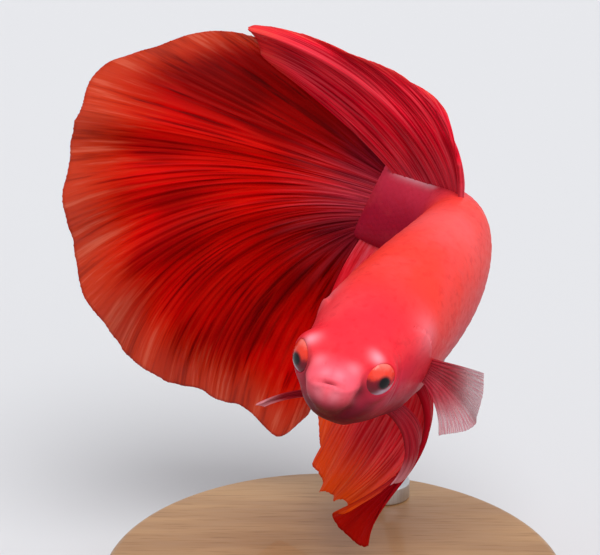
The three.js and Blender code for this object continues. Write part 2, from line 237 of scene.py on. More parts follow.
# A ray starts at [distance, height] on the body, at side, and runs off at an angle in the fish's
# upright plane and an angle to its left. Both turn by their bends times the way along it to the
# power bend_law, and by their curls times its square.
# Row: [place across 0..1, distance, height, side, angle, left angle, length, bend, left bend, curl,
# left curl], and a fin whose rays don't curl leaves the last two out.
FINS = {
    "caudal_fin": {
        "rows": [
            [0.0, 41.2, 3.3, 0, 31, 6, 16.8, -18, -20],
            [0.125, 41.2, 2.6, 0, 11, -21, 24.2, -8, 21],
            [0.215, 41.2, 1.9, 0, 4, -28, 28.1, -12, 16],
            [0.25, 41.2, 1.6, 0, 3, -29, 28.0, -14, 14],
            [0.375, 41.2, 0.6, 0, 2, -27, 28.6, -41, 4],
            [0.5, 41.2, -0.4, 0, -5, -28, 28.2, -63, 5],
            [0.625, 41.2, -1.3, 0, -12, -25, 27.4, -86, 13],
            [0.75, 41.2, -2.1, 0, -29, -17, 24.6, -77, 13],
            [0.875, 41.2, -2.8, 0, -57, -3, 22.0, -46, -1],
            [0.94, 41.2, -3.1, 0, -88, 10, 22.2, -6, -20],
            [1.0, 41.2, -3.4, 0, -101, 13, 19.6, 8, -18],
        ],
        "pleats": (7, 0.5),
        "lobes": (9, 0.015),
        "columns": 520,
        "rings": 78,
        "rays": 14,
        "branches": (0.08, 0.34, 0.66),
        "fold": 0.2,
        # The first part across is painted with the dorsal fin's shadow, and the root below with the
        # body's shade.
        "painted_shade": (0.08, 0.3),
        "painted_shade_fades": (0.78, 0.96),
        "shaded": (0.5, 0.8),
        "seed": 3,
    },
    "dorsal_fin": {
        "rows": [
            [0.0, 29.8, 4.9, 0, 77, -8, 8.0, -21, -21],
            [0.15, 30.7, 4.7, 0, 84, -1, 12.4, -25, -61],
            [0.33, 32.1, 4.35, 0, 90, -18, 17.2, -55, -46],
            [0.55, 34.0, 3.7, 0, 88, -30, 24.0, -84, -24],
            [0.78, 37.0, 3.2, 0, 66, -36, 20.4, -64, 18],
            [1.0, 40.0, 2.9, 0, 41, -35, 15.5, -30, 36],
        ],
        "bend_law": 0.8,
        "pleats": (3, 0.3),
        "lobes": (5, 0.02),
        "columns": 360,
        "rings": 72,
        "rays": 11,
        "branches": (0.3, 0.62, 0.85),
        "fold": 0.18,
        "seed": 5,
    },
    "anal_fin": {
        "rows": [
            [0.0, 18.0, -5.6, 0, -65, 80, 19.8, -90, -300, 67, 231],
            [0.1, 19.5, -5.65, 0, -98, 81, 19.6, 28, -294, -38, 206],
            [0.2, 21.5, -5.7, 0, -131, 71, 18.8, 132, -225, -135, 111],
            [0.3, 23.5, -5.5, 0, -150, 48, 17.2, 166, -150, -141, 67],
            [0.45, 27.0, -5.0, 0, -137, -3, 18.2, 57, -9, -23, -19],
            [0.62, 31.0, -4.2, 0, -130, -34, 20.5, 41, 33, -6, -18],
            [0.82, 35.0, -3.2, 0, -103, -43, 20.6, 8, 35, 10, -6],
            [0.91, 37.8, -3.15, 0, -88, -32, 18.9, -14, 22, 4, -6],
            [1.0, 41.0, -3.3, 0, -79, -18, 15.6, -38, 12, 0, -8],
        ],
        "pleats": (5, 0.35),
        "lobes": (6, 0.015),
        "columns": 460,
        "rings": 66,
        "rays": 24,
        "branches": (0.45, 0.8, 1.2),
        "fold": 0.16,
        # The triangle before the crease, turned away from the light, is painted in shade.
        "painted_shade": (0.14, 0.26),
        "seed": 7,
    },
    "pectoral_fin_left": {
        **PECTORAL,
        "rows": [
            [0.0, 12.6, -0.8, 4.2, 141, 58, 6.8, 10, -13],
            [0.5, 12.6, -1.7, 4.1, 177, 67, 7.6, 12, -28],
            [1.0, 12.6, -2.6, 3.9, 185, 48, 7.0, 12, -27],
        ],
        "seed": 11,
    },
    "pectoral_fin_right": {
        **PECTORAL,
        "rows": [
            [0.0, 12.6, -0.8, -4.2, -14, -22, 6.8, -10, 8],
            [0.5, 12.6, -1.7, -4.1, -32, -26, 7.6, -14, 8],
            [1.0, 12.6, -2.6, -3.9, -52, -22, 7.0, -16, 4],
        ],
        "seed": 13,
    },
    "pelvic_fin_left": {
        **PELVIC,
        "rows": [
            [0.0, 10.6, -5.0, 1.3, -50, 62, 9.5, -60, -88],
            [1.0, 12.0, -5.0, 1.5, -30, 62, 9.0, -60, -84],
        ],
        "seed": 17,
    },
    "pelvic_fin_right": {
        **PELVIC,
        "rows": [
            [0.0, 10.9, -5.2, -2.2, 173, -40, 8.7, 1, 35],
            [1.0, 11.2, -5.9, -1.5, 168, -42, 9.2, 9, 32],
        ],
        "seed": 19,
    },
}
FIN_THICKNESS = (0.36, 0.09)  # of the web, at the body and at the margin
RAY_HEIGHT = (0.075, 0.025)  # how far a ray stands out of the web on each side
RAY_WIDTH = (0.12, 0.065)
UNEVEN_RAYS = {"share": 0.22, "rate": 0.7}  # how far the rays wander from even places
RAY_SPLIT = 0.22  # how much of its way out a ray takes to part in two
FOLD_STRENGTH = {"mean": 0.75, "share": 0.45, "rate": 1.3, "power": 1.4}
FOLD_FADES = {"root": 0.15, "from": 0.55, "share": 0.6}
CREASE = {"sunk": (0.55, 1.0), "ends": (0.5, 0.95)}
FULL_FOLD_GAP = 0.6  # between two rays, under which the web's folds are shallower
MARGIN_EDGE = {"from": 0.97, "thinned": 0.75}
FRAY = {"depth": 0.012, "power": 8, "between_rays": 0.15}
# How strong the painted shade at a root is, and how much of it fades towards the margin.
PAINTED_SHADE_SHARE = {"root": 0.8, "faded": 0.85}
ROOT_END = (0.1, 0.6)  # a shaded root ends between these places along a fin

SKIN_GLOSS = 0.06
FIN_GLOSS = 0.025
FIN_GLOW = 0.2  # the share of light that comes through a fin from behind

STAND_EDGES = {"base": 0.8, "collar": 0.35, "lower": 0.2}
# The rod: where its foot and its upper part are read off, how far it goes on inside the fish, and
# how its end is rounded.
ROD = {"foot": 0.01, "upper": 5.0, "inside": 0.6, "rounding": 0.05}

# A lamp's strength, its spread, how far it is turned from the front and how high it stands.
LAMPS = {"high_light": (2.1, 40, 12, 62), "front_light": (0.95, 70, 30, 18)}
FLOOR_SIZE = 3.0  # in metres
CAMERA = {"at": (-2.91, -136.68, 74.68), "down": 18.0, "lens": 105.3, "sensor": 36.0, "clip": 5.0}

# ---------------------------------------------------------------- numbers


def smooth_step(low, high, x):
    """0 below low, 1 above high, and 3t^2 - 2t^3 between them."""
    t = np.clip((x - low) / (high - low), 0.0, 1.0)
    return t * t * (3.0 - 2.0 * t)


def bell(distance, width):
    """exp(-(distance / width)^2): 1 at the middle, and about a third one width away."""
    return np.exp(-((distance / width) ** 2))


def unit(vectors):
    """Each vector divided by its length."""
    return vectors / np.linalg.norm(vectors, axis=-1, keepdims=True)


def aim(turn, rise):
    """The direction turned by one angle from +X towards +Y, and raised by the other towards +Z."""
    return np.stack([np.cos(turn) * np.cos(rise), np.sin(turn) * np.cos(rise), np.sin(rise)], -1)


def smooth_through(rows):
    """A cubic through rows of [x, y, y, ...] that never overshoots them.

    The slope at a row is the weighted harmonic mean of the rates on both sides of it, and 0 where
    the rates change sign. Between two rows each y is the cubic with those values and slopes.
    """
    table = np.array(rows, float)
    xs, ys = table[:, 0], table[:, 1:]
    runs = np.diff(xs)[:, None]
    rates = np.diff(ys, axis=0) / runs
    same_way = rates[:-1] * rates[1:] > 0
    before = 2 * runs[1:] + runs[:-1]
    after = runs[1:] + 2 * runs[:-1]
    first = np.where(same_way, rates[:-1], 1.0)
    second = np.where(same_way, rates[1:], 1.0)
    inner = np.where(same_way, (before + after) / (before / first + after / second), 0.0)
    slopes = np.vstack([rates[:1], inner, rates[-1:]])

    def at(x):
        x = np.clip(x, xs[0], xs[-1])
        i = np.clip(np.searchsorted(xs, x, side="right") - 1, 0, len(runs) - 1)
        run = runs[i]
        t = (x - xs[i])[..., None] / run
        held = ys[i] * (1 - t) ** 2 * (1 + 2 * t) + ys[i + 1] * t**2 * (3 - 2 * t)
        return held + run * t * (1 - t) * (slopes[i] * (1 - t) - slopes[i + 1] * t)

    return at


def wander(x, seed, waves=5):
    """A smooth wavering between about -1 and 1: sines of x at growing rates with chance phases."""
    random = np.random.default_rng(seed)
    rates = 1.0 + 1.7 * np.arange(waves) + random.uniform(0, 0.6, waves)
    phases = random.uniform(0, 2 * np.pi, waves)
    weights = 1.0 / np.sqrt(1.0 + np.arange(waves))
    turns = np.asarray(x)[..., None] * rates + phases
    return np.sin(turns) @ weights / weights.sum()


# ---------------------------------------------------------------- the body's own coordinates

heading = smooth_through(HEADING)
section = smooth_through(SECTIONS)


def directions(distance):
    """Back, left and up at a distance: yaw and pitch give back, and roll turns left about it."""
    yaw, pitch, roll = np.moveaxis(np.radians(heading(distance)), -1, 0)
    back = aim(yaw, pitch)
    level = np.stack([np.sin(yaw), -np.cos(yaw), np.zeros_like(yaw)], -1)
    left = level * np.cos(roll)[..., None] + np.cross(back, level) * np.sin(roll)[..., None]
    return back, left, np.cross(left, back)


def walk_centreline(step=0.02):
    """Distances and centres along the body: the running sum of a short step along each heading."""
    distances = np.arange(0.0, BODY_LENGTH + step, step)
    middles = 0.5 * (distances[1:] + distances[:-1])
    steps = directions(middles)[0] * step
    return distances, np.array(SNOUT) + np.vstack([np.zeros(3), np.cumsum(steps, axis=0)])


walked, centres = walk_centreline()


def place(distance, side, height):
    """Where a point in the fish's own coordinates is. Past the ends the centreline runs straight."""
    distance, side, height = np.broadcast_arrays(distance, side, height)
    back, left, up = directions(distance)
    within = np.clip(distance, 0.0, BODY_LENGTH)
    centre = np.stack([np.interp(within, walked, centres[:, k]) for k in range(3)], -1)
    centre = centre + (distance - within)[..., None] * back
    return centre + side[..., None] * left + height[..., None] * up


def in_space(points):
    """Where points in the fish's own coordinates are."""
    return place(*np.moveaxis(points, -1, 0))


def on_left(points):
    """Points in the fish's own coordinates, with those of its right side mirrored to its left."""
    return np.stack([points[..., 0], np.abs(points[..., 1]), points[..., 2]], -1)


def spots_at(points, spots):
    """A sum of bells on both sides: each row's last number times the bell of its radius."""
    mirrored = on_left(points)
    total = np.zeros(points.shape[:-1])
    for *spot, radius, share in spots:
        total += share * bell(np.linalg.norm(mirrored - np.array(spot), axis=-1), radius)
    return total


def body_size(distance, over):
    """Half width, and height above or below, squared, with the snout and the stalk rounded off.

    The nose is a quarter ellipse. At the stalk's end the width follows a quarter ellipse, and the
    height stays nearly full and closes at the last moment.
    """
    above, below, half_width = np.moveaxis(section(np.clip(distance, 0, BODY_LENGTH)), -1, 0)
    reach = np.where(over, above, below)
    ahead = np.clip((NOSE["end"] - distance) / (NOSE["end"] - NOSE["tip"]), 0, 1)
    past = np.clip((distance - STALK_END["start"]) / (STALK_END["tip"] - STALK_END["start"]), 0, 1)
    nose = 1.0 - ahead**2
    return half_width**2 * nose * (1 - past**2), reach**2 * nose * (1 - past**8)


def body_surface(distance, angle):
    """The plain body in the fish's own coordinates, and its outward direction.

    The point is [distance, width x cos, height x sin], with both powers a little under 1. The
    direction is the slope of (side/width)^2 + (height/reach)^2, worked out from squared sizes so
    that it holds at the very tip.
    """
    distance, angle = np.broadcast_arrays(np.asarray(distance, float), angle)
    across = np.sign(np.cos(angle)) * np.abs(np.cos(angle)) ** ROUNDNESS
    upward = np.sign(np.sin(angle)) * np.abs(np.sin(angle)) ** ROUNDNESS
    over = upward > 0
    wide, tall = body_size(distance, over)
    tiny = 1e-3
    wide_more, tall_more = body_size(distance + tiny, over)
    wide_less, tall_less = body_size(distance - tiny, over)
    ratio = (wide + 1e-9) / (tall + 1e-9)
    widening = (wide_more - wide_less) / (2 * tiny)
    heightening = (tall_more - tall_less) / (2 * tiny)
    points = np.stack([distance, across * np.sqrt(wide), upward * np.sqrt(tall)], -1)
    slope = -0.5 * (across**2 * widening + upward**2 * ratio * heightening)
    outward = np.stack([slope, points[..., 1], points[..., 2] * ratio], -1)
    return points, outward / (np.linalg.norm(outward, axis=-1, keepdims=True) + 1e-9)


# ---------------------------------------------------------------- the skin's relief


def eye_centre(side):
    """The middle of an eye's CAD solid, in millimetres."""
    low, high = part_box(f"eye_{side}")
    return 0.5 * (np.array(low) + np.array(high)) / MM


def eye_radius():
    """Half the height of the left eye's CAD solid, in millimetres."""
    low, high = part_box("eye_left")
    return 0.5 * (high[2] - low[2]) / MM


def into_fish(point):
    """A point in the fish's own coordinates, by the nearest walked centre."""
    nearest = walked[np.argmin(np.linalg.norm(centres - point, axis=1))]
    back, left, up = directions(nearest)
    gap = np.array(point) - place(nearest, 0.0, 0.0)
    return np.array([nearest + gap @ back, gap @ left, gap @ up])


EYE = into_fish(eye_centre("left"))
EYE_RADIUS = eye_radius()


def over_slit(points):
    """Height over the sloping plane of the mouth's slit."""
    slope = math.radians(MOUTH["slope"])
    return (points[..., 2] - MOUTH["top"]) * math.cos(slope) - points[..., 0] * math.sin(slope)


def before_corner(points):
    """1 in the front of the mouth, easing to 0 at its corners on both sides."""
    return 1 - smooth_step(*MOUTH["corner"], np.abs(points[..., 1]))


def mouth_mask(points):
    """1 in the middle of the mouth's slit, less beside it, and nothing at its corners."""
    opened = MOUTH["beside"] + (1 - MOUTH["beside"]) * bell(points[..., 1], MOUTH["open"])
    return bell(over_slit(points), MOUTH["groove"]) * opened * before_corner(points)


def cover_edge(points):
    """How far inside a gill cover's oval a point is, as a share of it, and its rear part's weight."""
    ahead = (points[..., 0] - GILL_COVER["at"]) / GILL_COVER["half_length"]
    height = (points[..., 2] - GILL_COVER["height"]) / GILL_COVER["half_height"]
    return 1 - np.hypot(ahead, height), smooth_step(*GILL_COVER["rear"], ahead)


def relief(points):
    """How far the skin stands out of the plain body.

    It is a sum of bells at RELIEF's places, two raised lips on both sides of the sunk slit of the
    mouth, pits for the nostrils, a step down and a groove behind each gill cover, and a shallow
    bowed line on the cheek.
    """
    side = np.abs(points[..., 1])
    out = spots_at(points, RELIEF) - COAT_DEPTH
    lips = bell(np.abs(over_slit(points)) - LIPS["offset"], LIPS["width"]) * before_corner(points)
    out += LIPS["height"] * lips - MOUTH["depth"] * mouth_mask(points)
    for distance, apart, radius in NOSTRILS:
        gap = np.hypot(points[..., 0] - distance, side - apart)
        above = smooth_step(*NOSTRIL_RIM["starts"], points[..., 2])
        rim = bell(gap - NOSTRIL_RIM["at"] * radius, NOSTRIL_RIM["width"] * radius)
        out += above * (NOSTRIL_RIM["height"] * rim - NOSTRIL_RIM["depth"] * bell(gap, radius))
    inside, rear = cover_edge(points)
    on_side = smooth_step(*SIDE_STARTS, side)
    step = smooth_step(0.0, GILL_COVER["sharp"], inside)
    step = step * (1 - smooth_step(0.0, GILL_COVER["fades"], inside))
    groove = GILL_COVER["groove"]
    sunk = groove["depth"] * bell(inside + groove["behind"], groove["width"])
    out += on_side * rear * (GILL_COVER["step"] * step - sunk)
    up_cheek = points[..., 2] / CHEEK_LINE["half_height"]
    bowed = points[..., 0] - CHEEK_LINE["at"] + CHEEK_LINE["bow"] * up_cheek**2
    on_cheek = on_side * (1 - smooth_step(CHEEK_LINE["fades"], 1.0, np.abs(up_cheek)))
    return out - CHEEK_LINE["depth"] * on_cheek * bell(bowed, CHEEK_LINE["width"])


def socket_axis():
    """The way the left eye's socket opens, in the fish's own coordinates."""
    outward, up = np.radians([EYE_RIM["outward"], EYE_RIM["up"]])
    return aim(np.pi - outward, up)


def settle_eye_rims(points):
    """Lays the skin round each eye.

    The points are split into a height along the socket's axis and a distance from it. Inside the
    opening the skin drops into the ball. At its edge it meets the ball in a thin lip, and from
    there it eases back to where it was.
    """
    axis, opening = socket_axis(), math.radians(EYE_RIM["opening"])
    mirror = np.ones_like(points)
    mirror[..., 1] = np.where(points[..., 1] < 0, -1.0, 1.0)
    turned = points * mirror
    gap = turned - EYE
    high = gap @ axis
    apart = np.linalg.norm(gap - high[..., None] * axis, axis=-1)
    edge = EYE_RADIUS * math.sin(opening)
    edge_height = EYEBALL["flatness"] * EYE_RADIUS * math.cos(opening)
    lip = EYE_RIM["lip"] * bell(apart - edge - EYE_RIM["lip"], EYE_RIM["lip_width"])
    drop = EYE_RIM["drop"] * smooth_step(0.0, EYE_RIM["drop_width"], edge - apart)
    wanted = edge_height + lip - drop
    weight = 1 - smooth_step(edge + EYE_RIM["lip"], edge + EYE_RIM["reach"], apart)
    weight = weight * smooth_step(*EYE_RIM["starts"], high)
    moved = turned + ((wanted - high) * weight)[..., None] * axis
    return moved * mirror


def skin_in_fish(distance, angle):
    """The finished skin in the fish's own coordinates: the plain body moved out by its relief."""
    points, outward = body_surface(distance, angle)
    raised = points + relief(points)[..., None] * outward
    return settle_eye_rims(raised)


def skin_point(distance, angle):
    """The finished skin where it is."""
    return in_space(skin_in_fish(distance, angle))


def skin_facing(distance, angle):
    """The outward direction of the finished skin, from the cross product of two short steps."""
    along = skin_point(distance + 0.02, angle) - skin_point(distance - 0.02, angle)
    around = skin_point(distance, angle + 0.01) - skin_point(distance, angle - 0.01)
    return unit(np.cross(along, around))


# ---------------------------------------------------------------- meshes


def grid_corners(rows, columns, wrap=False, flip=False):
    """Row and column of the four corners of each cell of a grid, whose columns may join up."""
    i, j = np.meshgrid(np.arange(rows - 1), np.arange(columns if wrap else columns - 1), indexing="ij")
    row = np.stack([i, i, i + 1, i + 1], -1).reshape(-1, 4)
    column = np.stack([j, j + 1, j + 1, j], -1).reshape(-1, 4)
    return (row[:, ::-1], column[:, ::-1]) if flip else (row, column)


def lay_down(name, points, faces, material, corners=None, marks=None, smooth=None):
    """Makes a mesh piece from millimetre points and arrays of faces, and returns its object.

    corners gives each face corner's place on the OFBake map, marks are values per point, and
    smooth tells which faces are shaded smoothly, if not all are.
    """
    mesh = bpy.data.meshes.new(name)
    indices = np.concatenate([f.ravel() for f in faces]).astype(np.int32)
    sizes = np.concatenate([np.full(len(f), f.shape[1]) for f in faces])
    starts = np.concatenate([[0], np.cumsum(sizes)[:-1]]).astype(np.int32)
    mesh.vertices.add(len(points))
    mesh.vertices.foreach_set("co", (points * MM).astype(np.float32).ravel())
    mesh.loops.add(len(indices))
    mesh.loops.foreach_set("vertex_index", indices)
    mesh.polygons.add(len(sizes))
    mesh.polygons.foreach_set("loop_start", starts)
    mesh.polygons.foreach_set("use_smooth", np.ones(len(sizes), bool) if smooth is None else smooth)
    if corners is not None:
        layer = mesh.uv_layers.new(name="OFBake")
        layer.data.foreach_set("uv", corners.astype(np.float32).ravel())
    for mark, values in (marks or {}).items():
        attribute = mesh.attributes.new(mark, "FLOAT", "POINT")
        attribute.data.foreach_set("value", values.astype(np.float32).ravel())
    mesh.update(calc_edges=True)
    mesh.validate()
    mesh.materials.append(material)
    piece = bpy.data.objects.new(name, mesh)
    bpy.context.scene.collection.objects.link(piece)
    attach(piece, "root")
    return piece


def closed_tube(rings):
    """Points, faces and map places of rings between two poles, which are the first and last ring."""
    rows, columns = rings.shape[:2]
    points = np.concatenate([rings[0, :1], rings[1:-1].reshape(-1, 3), rings[-1, :1]])
    row, column = grid_corners(rows - 2, columns, wrap=True, flip=True)
    quads = 1 + row * columns + column % columns
    j = np.arange(columns)
    following = (j + 1) % columns
    last = len(points) - 1
    front = np.stack([np.zeros_like(j), 1 + j, 1 + following], -1)
    rear = np.stack([np.full_like(j, last), last - columns + following, last - columns + j], -1)
    spread = np.array([1.0 / columns, 1.0 / (rows - 1)])
    quad_map = np.stack([column, row + 1], -1).reshape(-1, 2) * spread
    ones = np.ones_like(j)
    front_map = np.stack([np.stack([j + 0.5, j, j + 1], -1), np.outer(ones, [0, 1, 1])], -1)
    rear_rows = np.outer(ones, [rows - 1, rows - 2, rows - 2])
    rear_map = np.stack([np.stack([j + 0.5, j + 1, j], -1), rear_rows], -1)
    pole_maps = [pole_map.reshape(-1, 2) * spread for pole_map in (front_map, rear_map)]
    return points, [quads, front, rear], np.concatenate([quad_map, *pole_maps])


def per_ring(values):
    """Values per grid point, taken where closed_tube() keeps a point."""
    return np.concatenate([values[0, :1], values[1:-1].ravel(), values[-1, :1]])


def closed_sheet(front, rear):
    """Points, faces and map places of two like grids, joined round their rim."""
    rows, columns = front.shape[:2]
    count = rows * columns
    row, column = grid_corners(rows, columns)
    near = row * columns + column
    far = near[:, ::-1] + count
    edge = np.concatenate(
        [
            np.arange(columns - 1),
            np.arange(rows - 1) * columns + columns - 1,
            count - 1 - np.arange(columns - 1),
            (rows - 1 - np.arange(rows - 1)) * columns,
        ]
    )
    following = np.roll(edge, -1)
    rim = np.stack([edge, edge + count, following + count, following], -1)
    across = np.tile(np.linspace(MAP_MARGIN, 0.5 - MAP_MARGIN, columns), rows)
    along = np.repeat(np.linspace(MAP_MARGIN, 1 - MAP_MARGIN, rows), columns)
    near_map = np.stack([across, along], -1)
    far_map = near_map + np.array([0.5, 0.0])
    face_maps = (near_map[near], far_map[far - count], near_map[rim % count])
    corners = np.concatenate([face_map.reshape(-1, 2) for face_map in face_maps])
    return np.concatenate([front.reshape(-1, 3), rear.reshape(-1, 3)]), [near, far, rim], corners


# ---------------------------------------------------------------- node trees


class Tree:
    """A short way to write a node tree: nodes by type and settings, and links by name."""

    def __init__(self, tree):
        self.tree = tree

    def node(self, kind, inputs=None, **settings):
        """A new node with its settings made and its inputs fed."""
        made = self.tree.nodes.new(kind)
        for key, value in settings.items():
            setattr(made, key, value)
        for key, value in (inputs or {}).items():
            self.feed(made.inputs[key], value)
        return made

    def feed(self, socket, value):
        """Links another socket to this one, or sets its number or colour."""
        if isinstance(value, bpy.types.NodeSocket):
            self.tree.links.new(value, socket)
        else:
            socket.default_value = value

    def mark(self, name):
        """The value that lay_down() wrote on the mesh under this name."""
        return self.node("ShaderNodeAttribute", attribute_name=name).outputs["Fac"]

    def math(self, operation, first, second=0.0, third=0.0):
        """The result of an operation on up to three values."""
        made = self.node("ShaderNodeMath", operation=operation)
        for socket, value in zip(made.inputs, (first, second, third)):
            self.feed(socket, value)
        return made.outputs[0]

    def ramp(self, value, low, high, to_low=0.0, to_high=1.0):
        """A value eased from one range to another."""
        inputs = {"Value": value, "From Min": low, "From Max": high, "To Min": to_low, "To Max": to_high}
        return self.node("ShaderNodeMapRange", inputs, interpolation_type="SMOOTHSTEP").outputs["Result"]

    def mix(self, share, first, second, blend="MIX"):
        """The first colour, with the second over it by a share."""
        made = self.node("ShaderNodeMix", data_type="RGBA", blend_type=blend)
        self.feed(made.inputs[0], share)
        self.feed(made.inputs[6], first)
        self.feed(made.inputs[7], second)
        return made.outputs[2]

    def paint(self, ground, *layers):
        """A ground colour under layers, each a share and a colour."""
        for share, layer in layers:
            ground = self.mix(share, ground, layer)
        return ground

    def noise(self, vector, scale, detail=3.0, roughness=0.55):
        """Cloudy noise between 0 and 1."""
        inputs = {"Vector": vector, "Scale": scale, "Detail": detail, "Roughness": roughness}
        return self.node("ShaderNodeTexNoise", inputs).outputs["Fac"]

    def stretch(self, vector, *shares):
        """A vector with each of its parts times a number."""
        made = self.node("ShaderNodeVectorMath", {0: vector, 1: shares}, operation="MULTIPLY")
        return made.outputs[0]

    def bump(self, surface, height, strength, distance):
        """Roughens a surface by a height."""
        inputs = {"Height": height, "Strength": strength, "Distance": distance}
        self.feed(surface["Normal"], self.node("ShaderNodeBump", inputs).outputs[0])

    def group(self, made_group, inputs):
        """The outputs of a node group whose inputs are fed."""
        made = self.tree.nodes.new("ShaderNodeGroup")
        made.node_tree = made_group
        for key, value in inputs.items():
            self.feed(made.inputs[key], value)
        return made.outputs


def colour(red, green, blue):
    """A display colour of 0 to 255 as the linear colour that a socket takes."""
    display = np.array([red, green, blue]) / 255
    linear = np.where(display <= 0.04045, display / 12.92, ((display + 0.055) / 1.055) ** 2.4)
    return (*linear, 1.0)


def effect(name, inputs, outputs):
    """An empty shader node group with named sockets, and its tree, input and output."""
    made = bpy.data.node_groups.new(name, "ShaderNodeTree")
    kinds = {"value": "NodeSocketFloat", "colour": "NodeSocketColor", "vector": "NodeSocketVector"}
    for label, kind in inputs.items():
        made.interface.new_socket(label, in_out="INPUT", socket_type=kinds[kind])
    for label, kind in outputs.items():
        made.interface.new_socket(label, in_out="OUTPUT", socket_type=kinds[kind])
    tree = Tree(made)
    return made, tree, tree.node("NodeGroupInput").outputs, tree.node("NodeGroupOutput").inputs


FLESH_MARKS = ("Along", "Height", "Dark", "Pale")


def flesh_markings():
    """The betta's body colours by place along it and height, mottled, with pink snout; the darker
    colours below, the dark mouth and hollows are painted shade, and its pale spots painted highlights.
    """
    made, tree, given, result = effect(
        "flesh_markings",
        dict.fromkeys(FLESH_MARKS, "value") | {"Vector": "vector"},
        {"Color": "colour", "Roughness": "value"},
    )
    broad = tree.noise(given["Vector"], 260.0, 3.0)
    fine = tree.noise(given["Vector"], 1500.0, 2.0)
    # The colours darken by height from the back to the belly: painted shade of the underside, which the
    # light from above leaves dim.
    uneven = tree.math("MULTIPLY_ADD", broad, 0.5, given["Height"])
    upper = tree.ramp(uneven, -0.25, 0.75)
    lower = tree.ramp(uneven, -0.55, 0.2)
    trunk = tree.paint(colour(150, 24, 52), (lower, colour(226, 54, 68)), (upper, colour(255, 66, 56)))
    head = tree.paint(colour(108, 0, 28), (lower, colour(218, 60, 86)), (upper, colour(252, 50, 64)))
    stalk = tree.mix(tree.ramp(uneven, 0.1, 1.1), colour(172, 24, 54), colour(226, 60, 88))
    snout = tree.mix(lower, colour(124, 4, 36), colour(255, 98, 116))
    light_patches = tree.math("MULTIPLY", tree.ramp(broad, 0.45, 0.72, 0.0, 0.34), lower)
    body = tree.paint(
        head,
        (tree.ramp(given["Along"], 0.16, 0.34), trunk),
        (tree.ramp(given["Along"], 0.66, 0.86), stalk),
        (tree.ramp(given["Along"], 0.075, 0.025), snout),
        (light_patches, colour(238, 84, 88)),
        (tree.ramp(fine, 0.5, 0.75, 0.0, 0.22), colour(186, 16, 34)),
        # painted highlights, pale where wet skin would shine
        (tree.math("MULTIPLY", given["Pale"], 0.92), colour(255, 188, 204)),
        # painted shade: in the mouth's slit, in the hollows and under the chin
        (given["Dark"], colour(84, 4, 22)),
    )
    tree.feed(result["Color"], body)
    tree.feed(result["Roughness"], tree.ramp(fine, 0.2, 0.8, 0.34, 0.5))
    return made


# Deep and Crease carry painted shade: the shadows of other fins, shade from the body, and the folds
# between rays.
FIN_MARKS = ("Along", "Across", "Ray", "Crease", "Painted_Shade")
FIN_COLOURS = ("Root", "Web", "Margin", "Ray Color", "Crease Shade Color", "Painted Shade Color")
FIN_NUMBERS = ("Margin Start", "Open", "Margin Open", "Ray Hold")


def fin_markings():
    """A fin's colours: root, web and margin along its rays, with pale rays and streaks that are partly
    painted highlight, and dark streaks, patches and creases painted as the shade of the web's folds.
    """
    made, tree, given, result = effect(
        "fin_markings",
        dict.fromkeys(FIN_MARKS + FIN_NUMBERS, "value") | dict.fromkeys(FIN_COLOURS, "colour"),
        {"Color": "colour", "Alpha": "value", "Roughness": "value"},
    )
    on_fin = tree.node("ShaderNodeCombineXYZ", {"X": given["Across"], "Y": given["Along"]}).outputs[0]
    streak = tree.noise(tree.stretch(on_fin, 90.0, 2.5, 1.0), 1.0, 4.0, 0.6)
    patch = tree.noise(tree.stretch(on_fin, 9.0, 2.0, 1.0), 1.0, 2.0)
    uneven = tree.math("MULTIPLY_ADD", tree.math("SUBTRACT", streak, 0.5), 0.22, given["Along"])
    uneven = tree.math("MULTIPLY_ADD", tree.math("SUBTRACT", patch, 0.5), 0.2, uneven)
    near_root = tree.ramp(given["Along"], 0.4, 0.04, 0.0, 0.4)
    to_margin = tree.ramp(uneven, given["Margin Start"], 1.0)
    frayed = tree.paint(
        given["Margin"],
        (tree.ramp(streak, 0.5, 0.68, 0.0, 0.28), colour(255, 150, 112)),
        (tree.ramp(streak, 0.48, 0.32, 0.0, 0.36), given["Crease Shade Color"]),
    )
    web = tree.paint(
        given["Root"],
        (tree.ramp(uneven, 0.02, 0.24), given["Web"]),
        # pale streaks: the rays' own colour with painted highlights; the dark streaks, patches and
        # creases below are painted shade of the folds
        (tree.ramp(streak, 0.46, 0.72, 0.0, 0.5), given["Ray Color"]),
        (tree.ramp(streak, 0.49, 0.3, 0.0, 0.75), given["Crease Shade Color"]),
        (tree.ramp(patch, 0.56, 0.36, 0.0, 0.5), given["Crease Shade Color"]),
        (tree.math("MULTIPLY", given["Ray"], 0.3), given["Ray Color"]),
        (tree.math("MULTIPLY", given["Crease"], 0.6), given["Crease Shade Color"]),
        (tree.math("MULTIPLY", tree.ramp(streak, 0.4, 0.62), near_root), colour(232, 112, 134)),
        (to_margin, frayed),
    )
    # painted shade: the shaded parts are multiplied by the shade colour
    tree.feed(result["Color"], tree.mix(given["Painted_Shade"], web, given["Painted Shade Color"], "MULTIPLY"))
    filled = {"Value": to_margin, "To Min": given["Open"], "To Max": given["Margin Open"]}
    web_alpha = tree.node("ShaderNodeMapRange", filled).outputs["Result"]
    ray_alpha = tree.math("MULTIPLY", given["Ray"], given["Ray Hold"])
    tree.feed(result["Alpha"], tree.math("MAXIMUM", web_alpha, ray_alpha))
    tree.feed(result["Roughness"], tree.ramp(streak, 0.3, 0.7, 0.34, 0.5))
    return made


def fine_grain():
    """A fine even roughness of a surface, as a height for a bump."""
    inputs = {"Vector": "vector", "Scale": "value"}
    made, tree, given, result = effect("fine_grain", inputs, {"Height": "value"})
    tree.feed(result["Height"], tree.noise(given["Vector"], given["Scale"], 4.0, 0.6))
    return made


GROUPS = {"flesh": flesh_markings(), "fin": fin_markings(), "grain": fine_grain()}


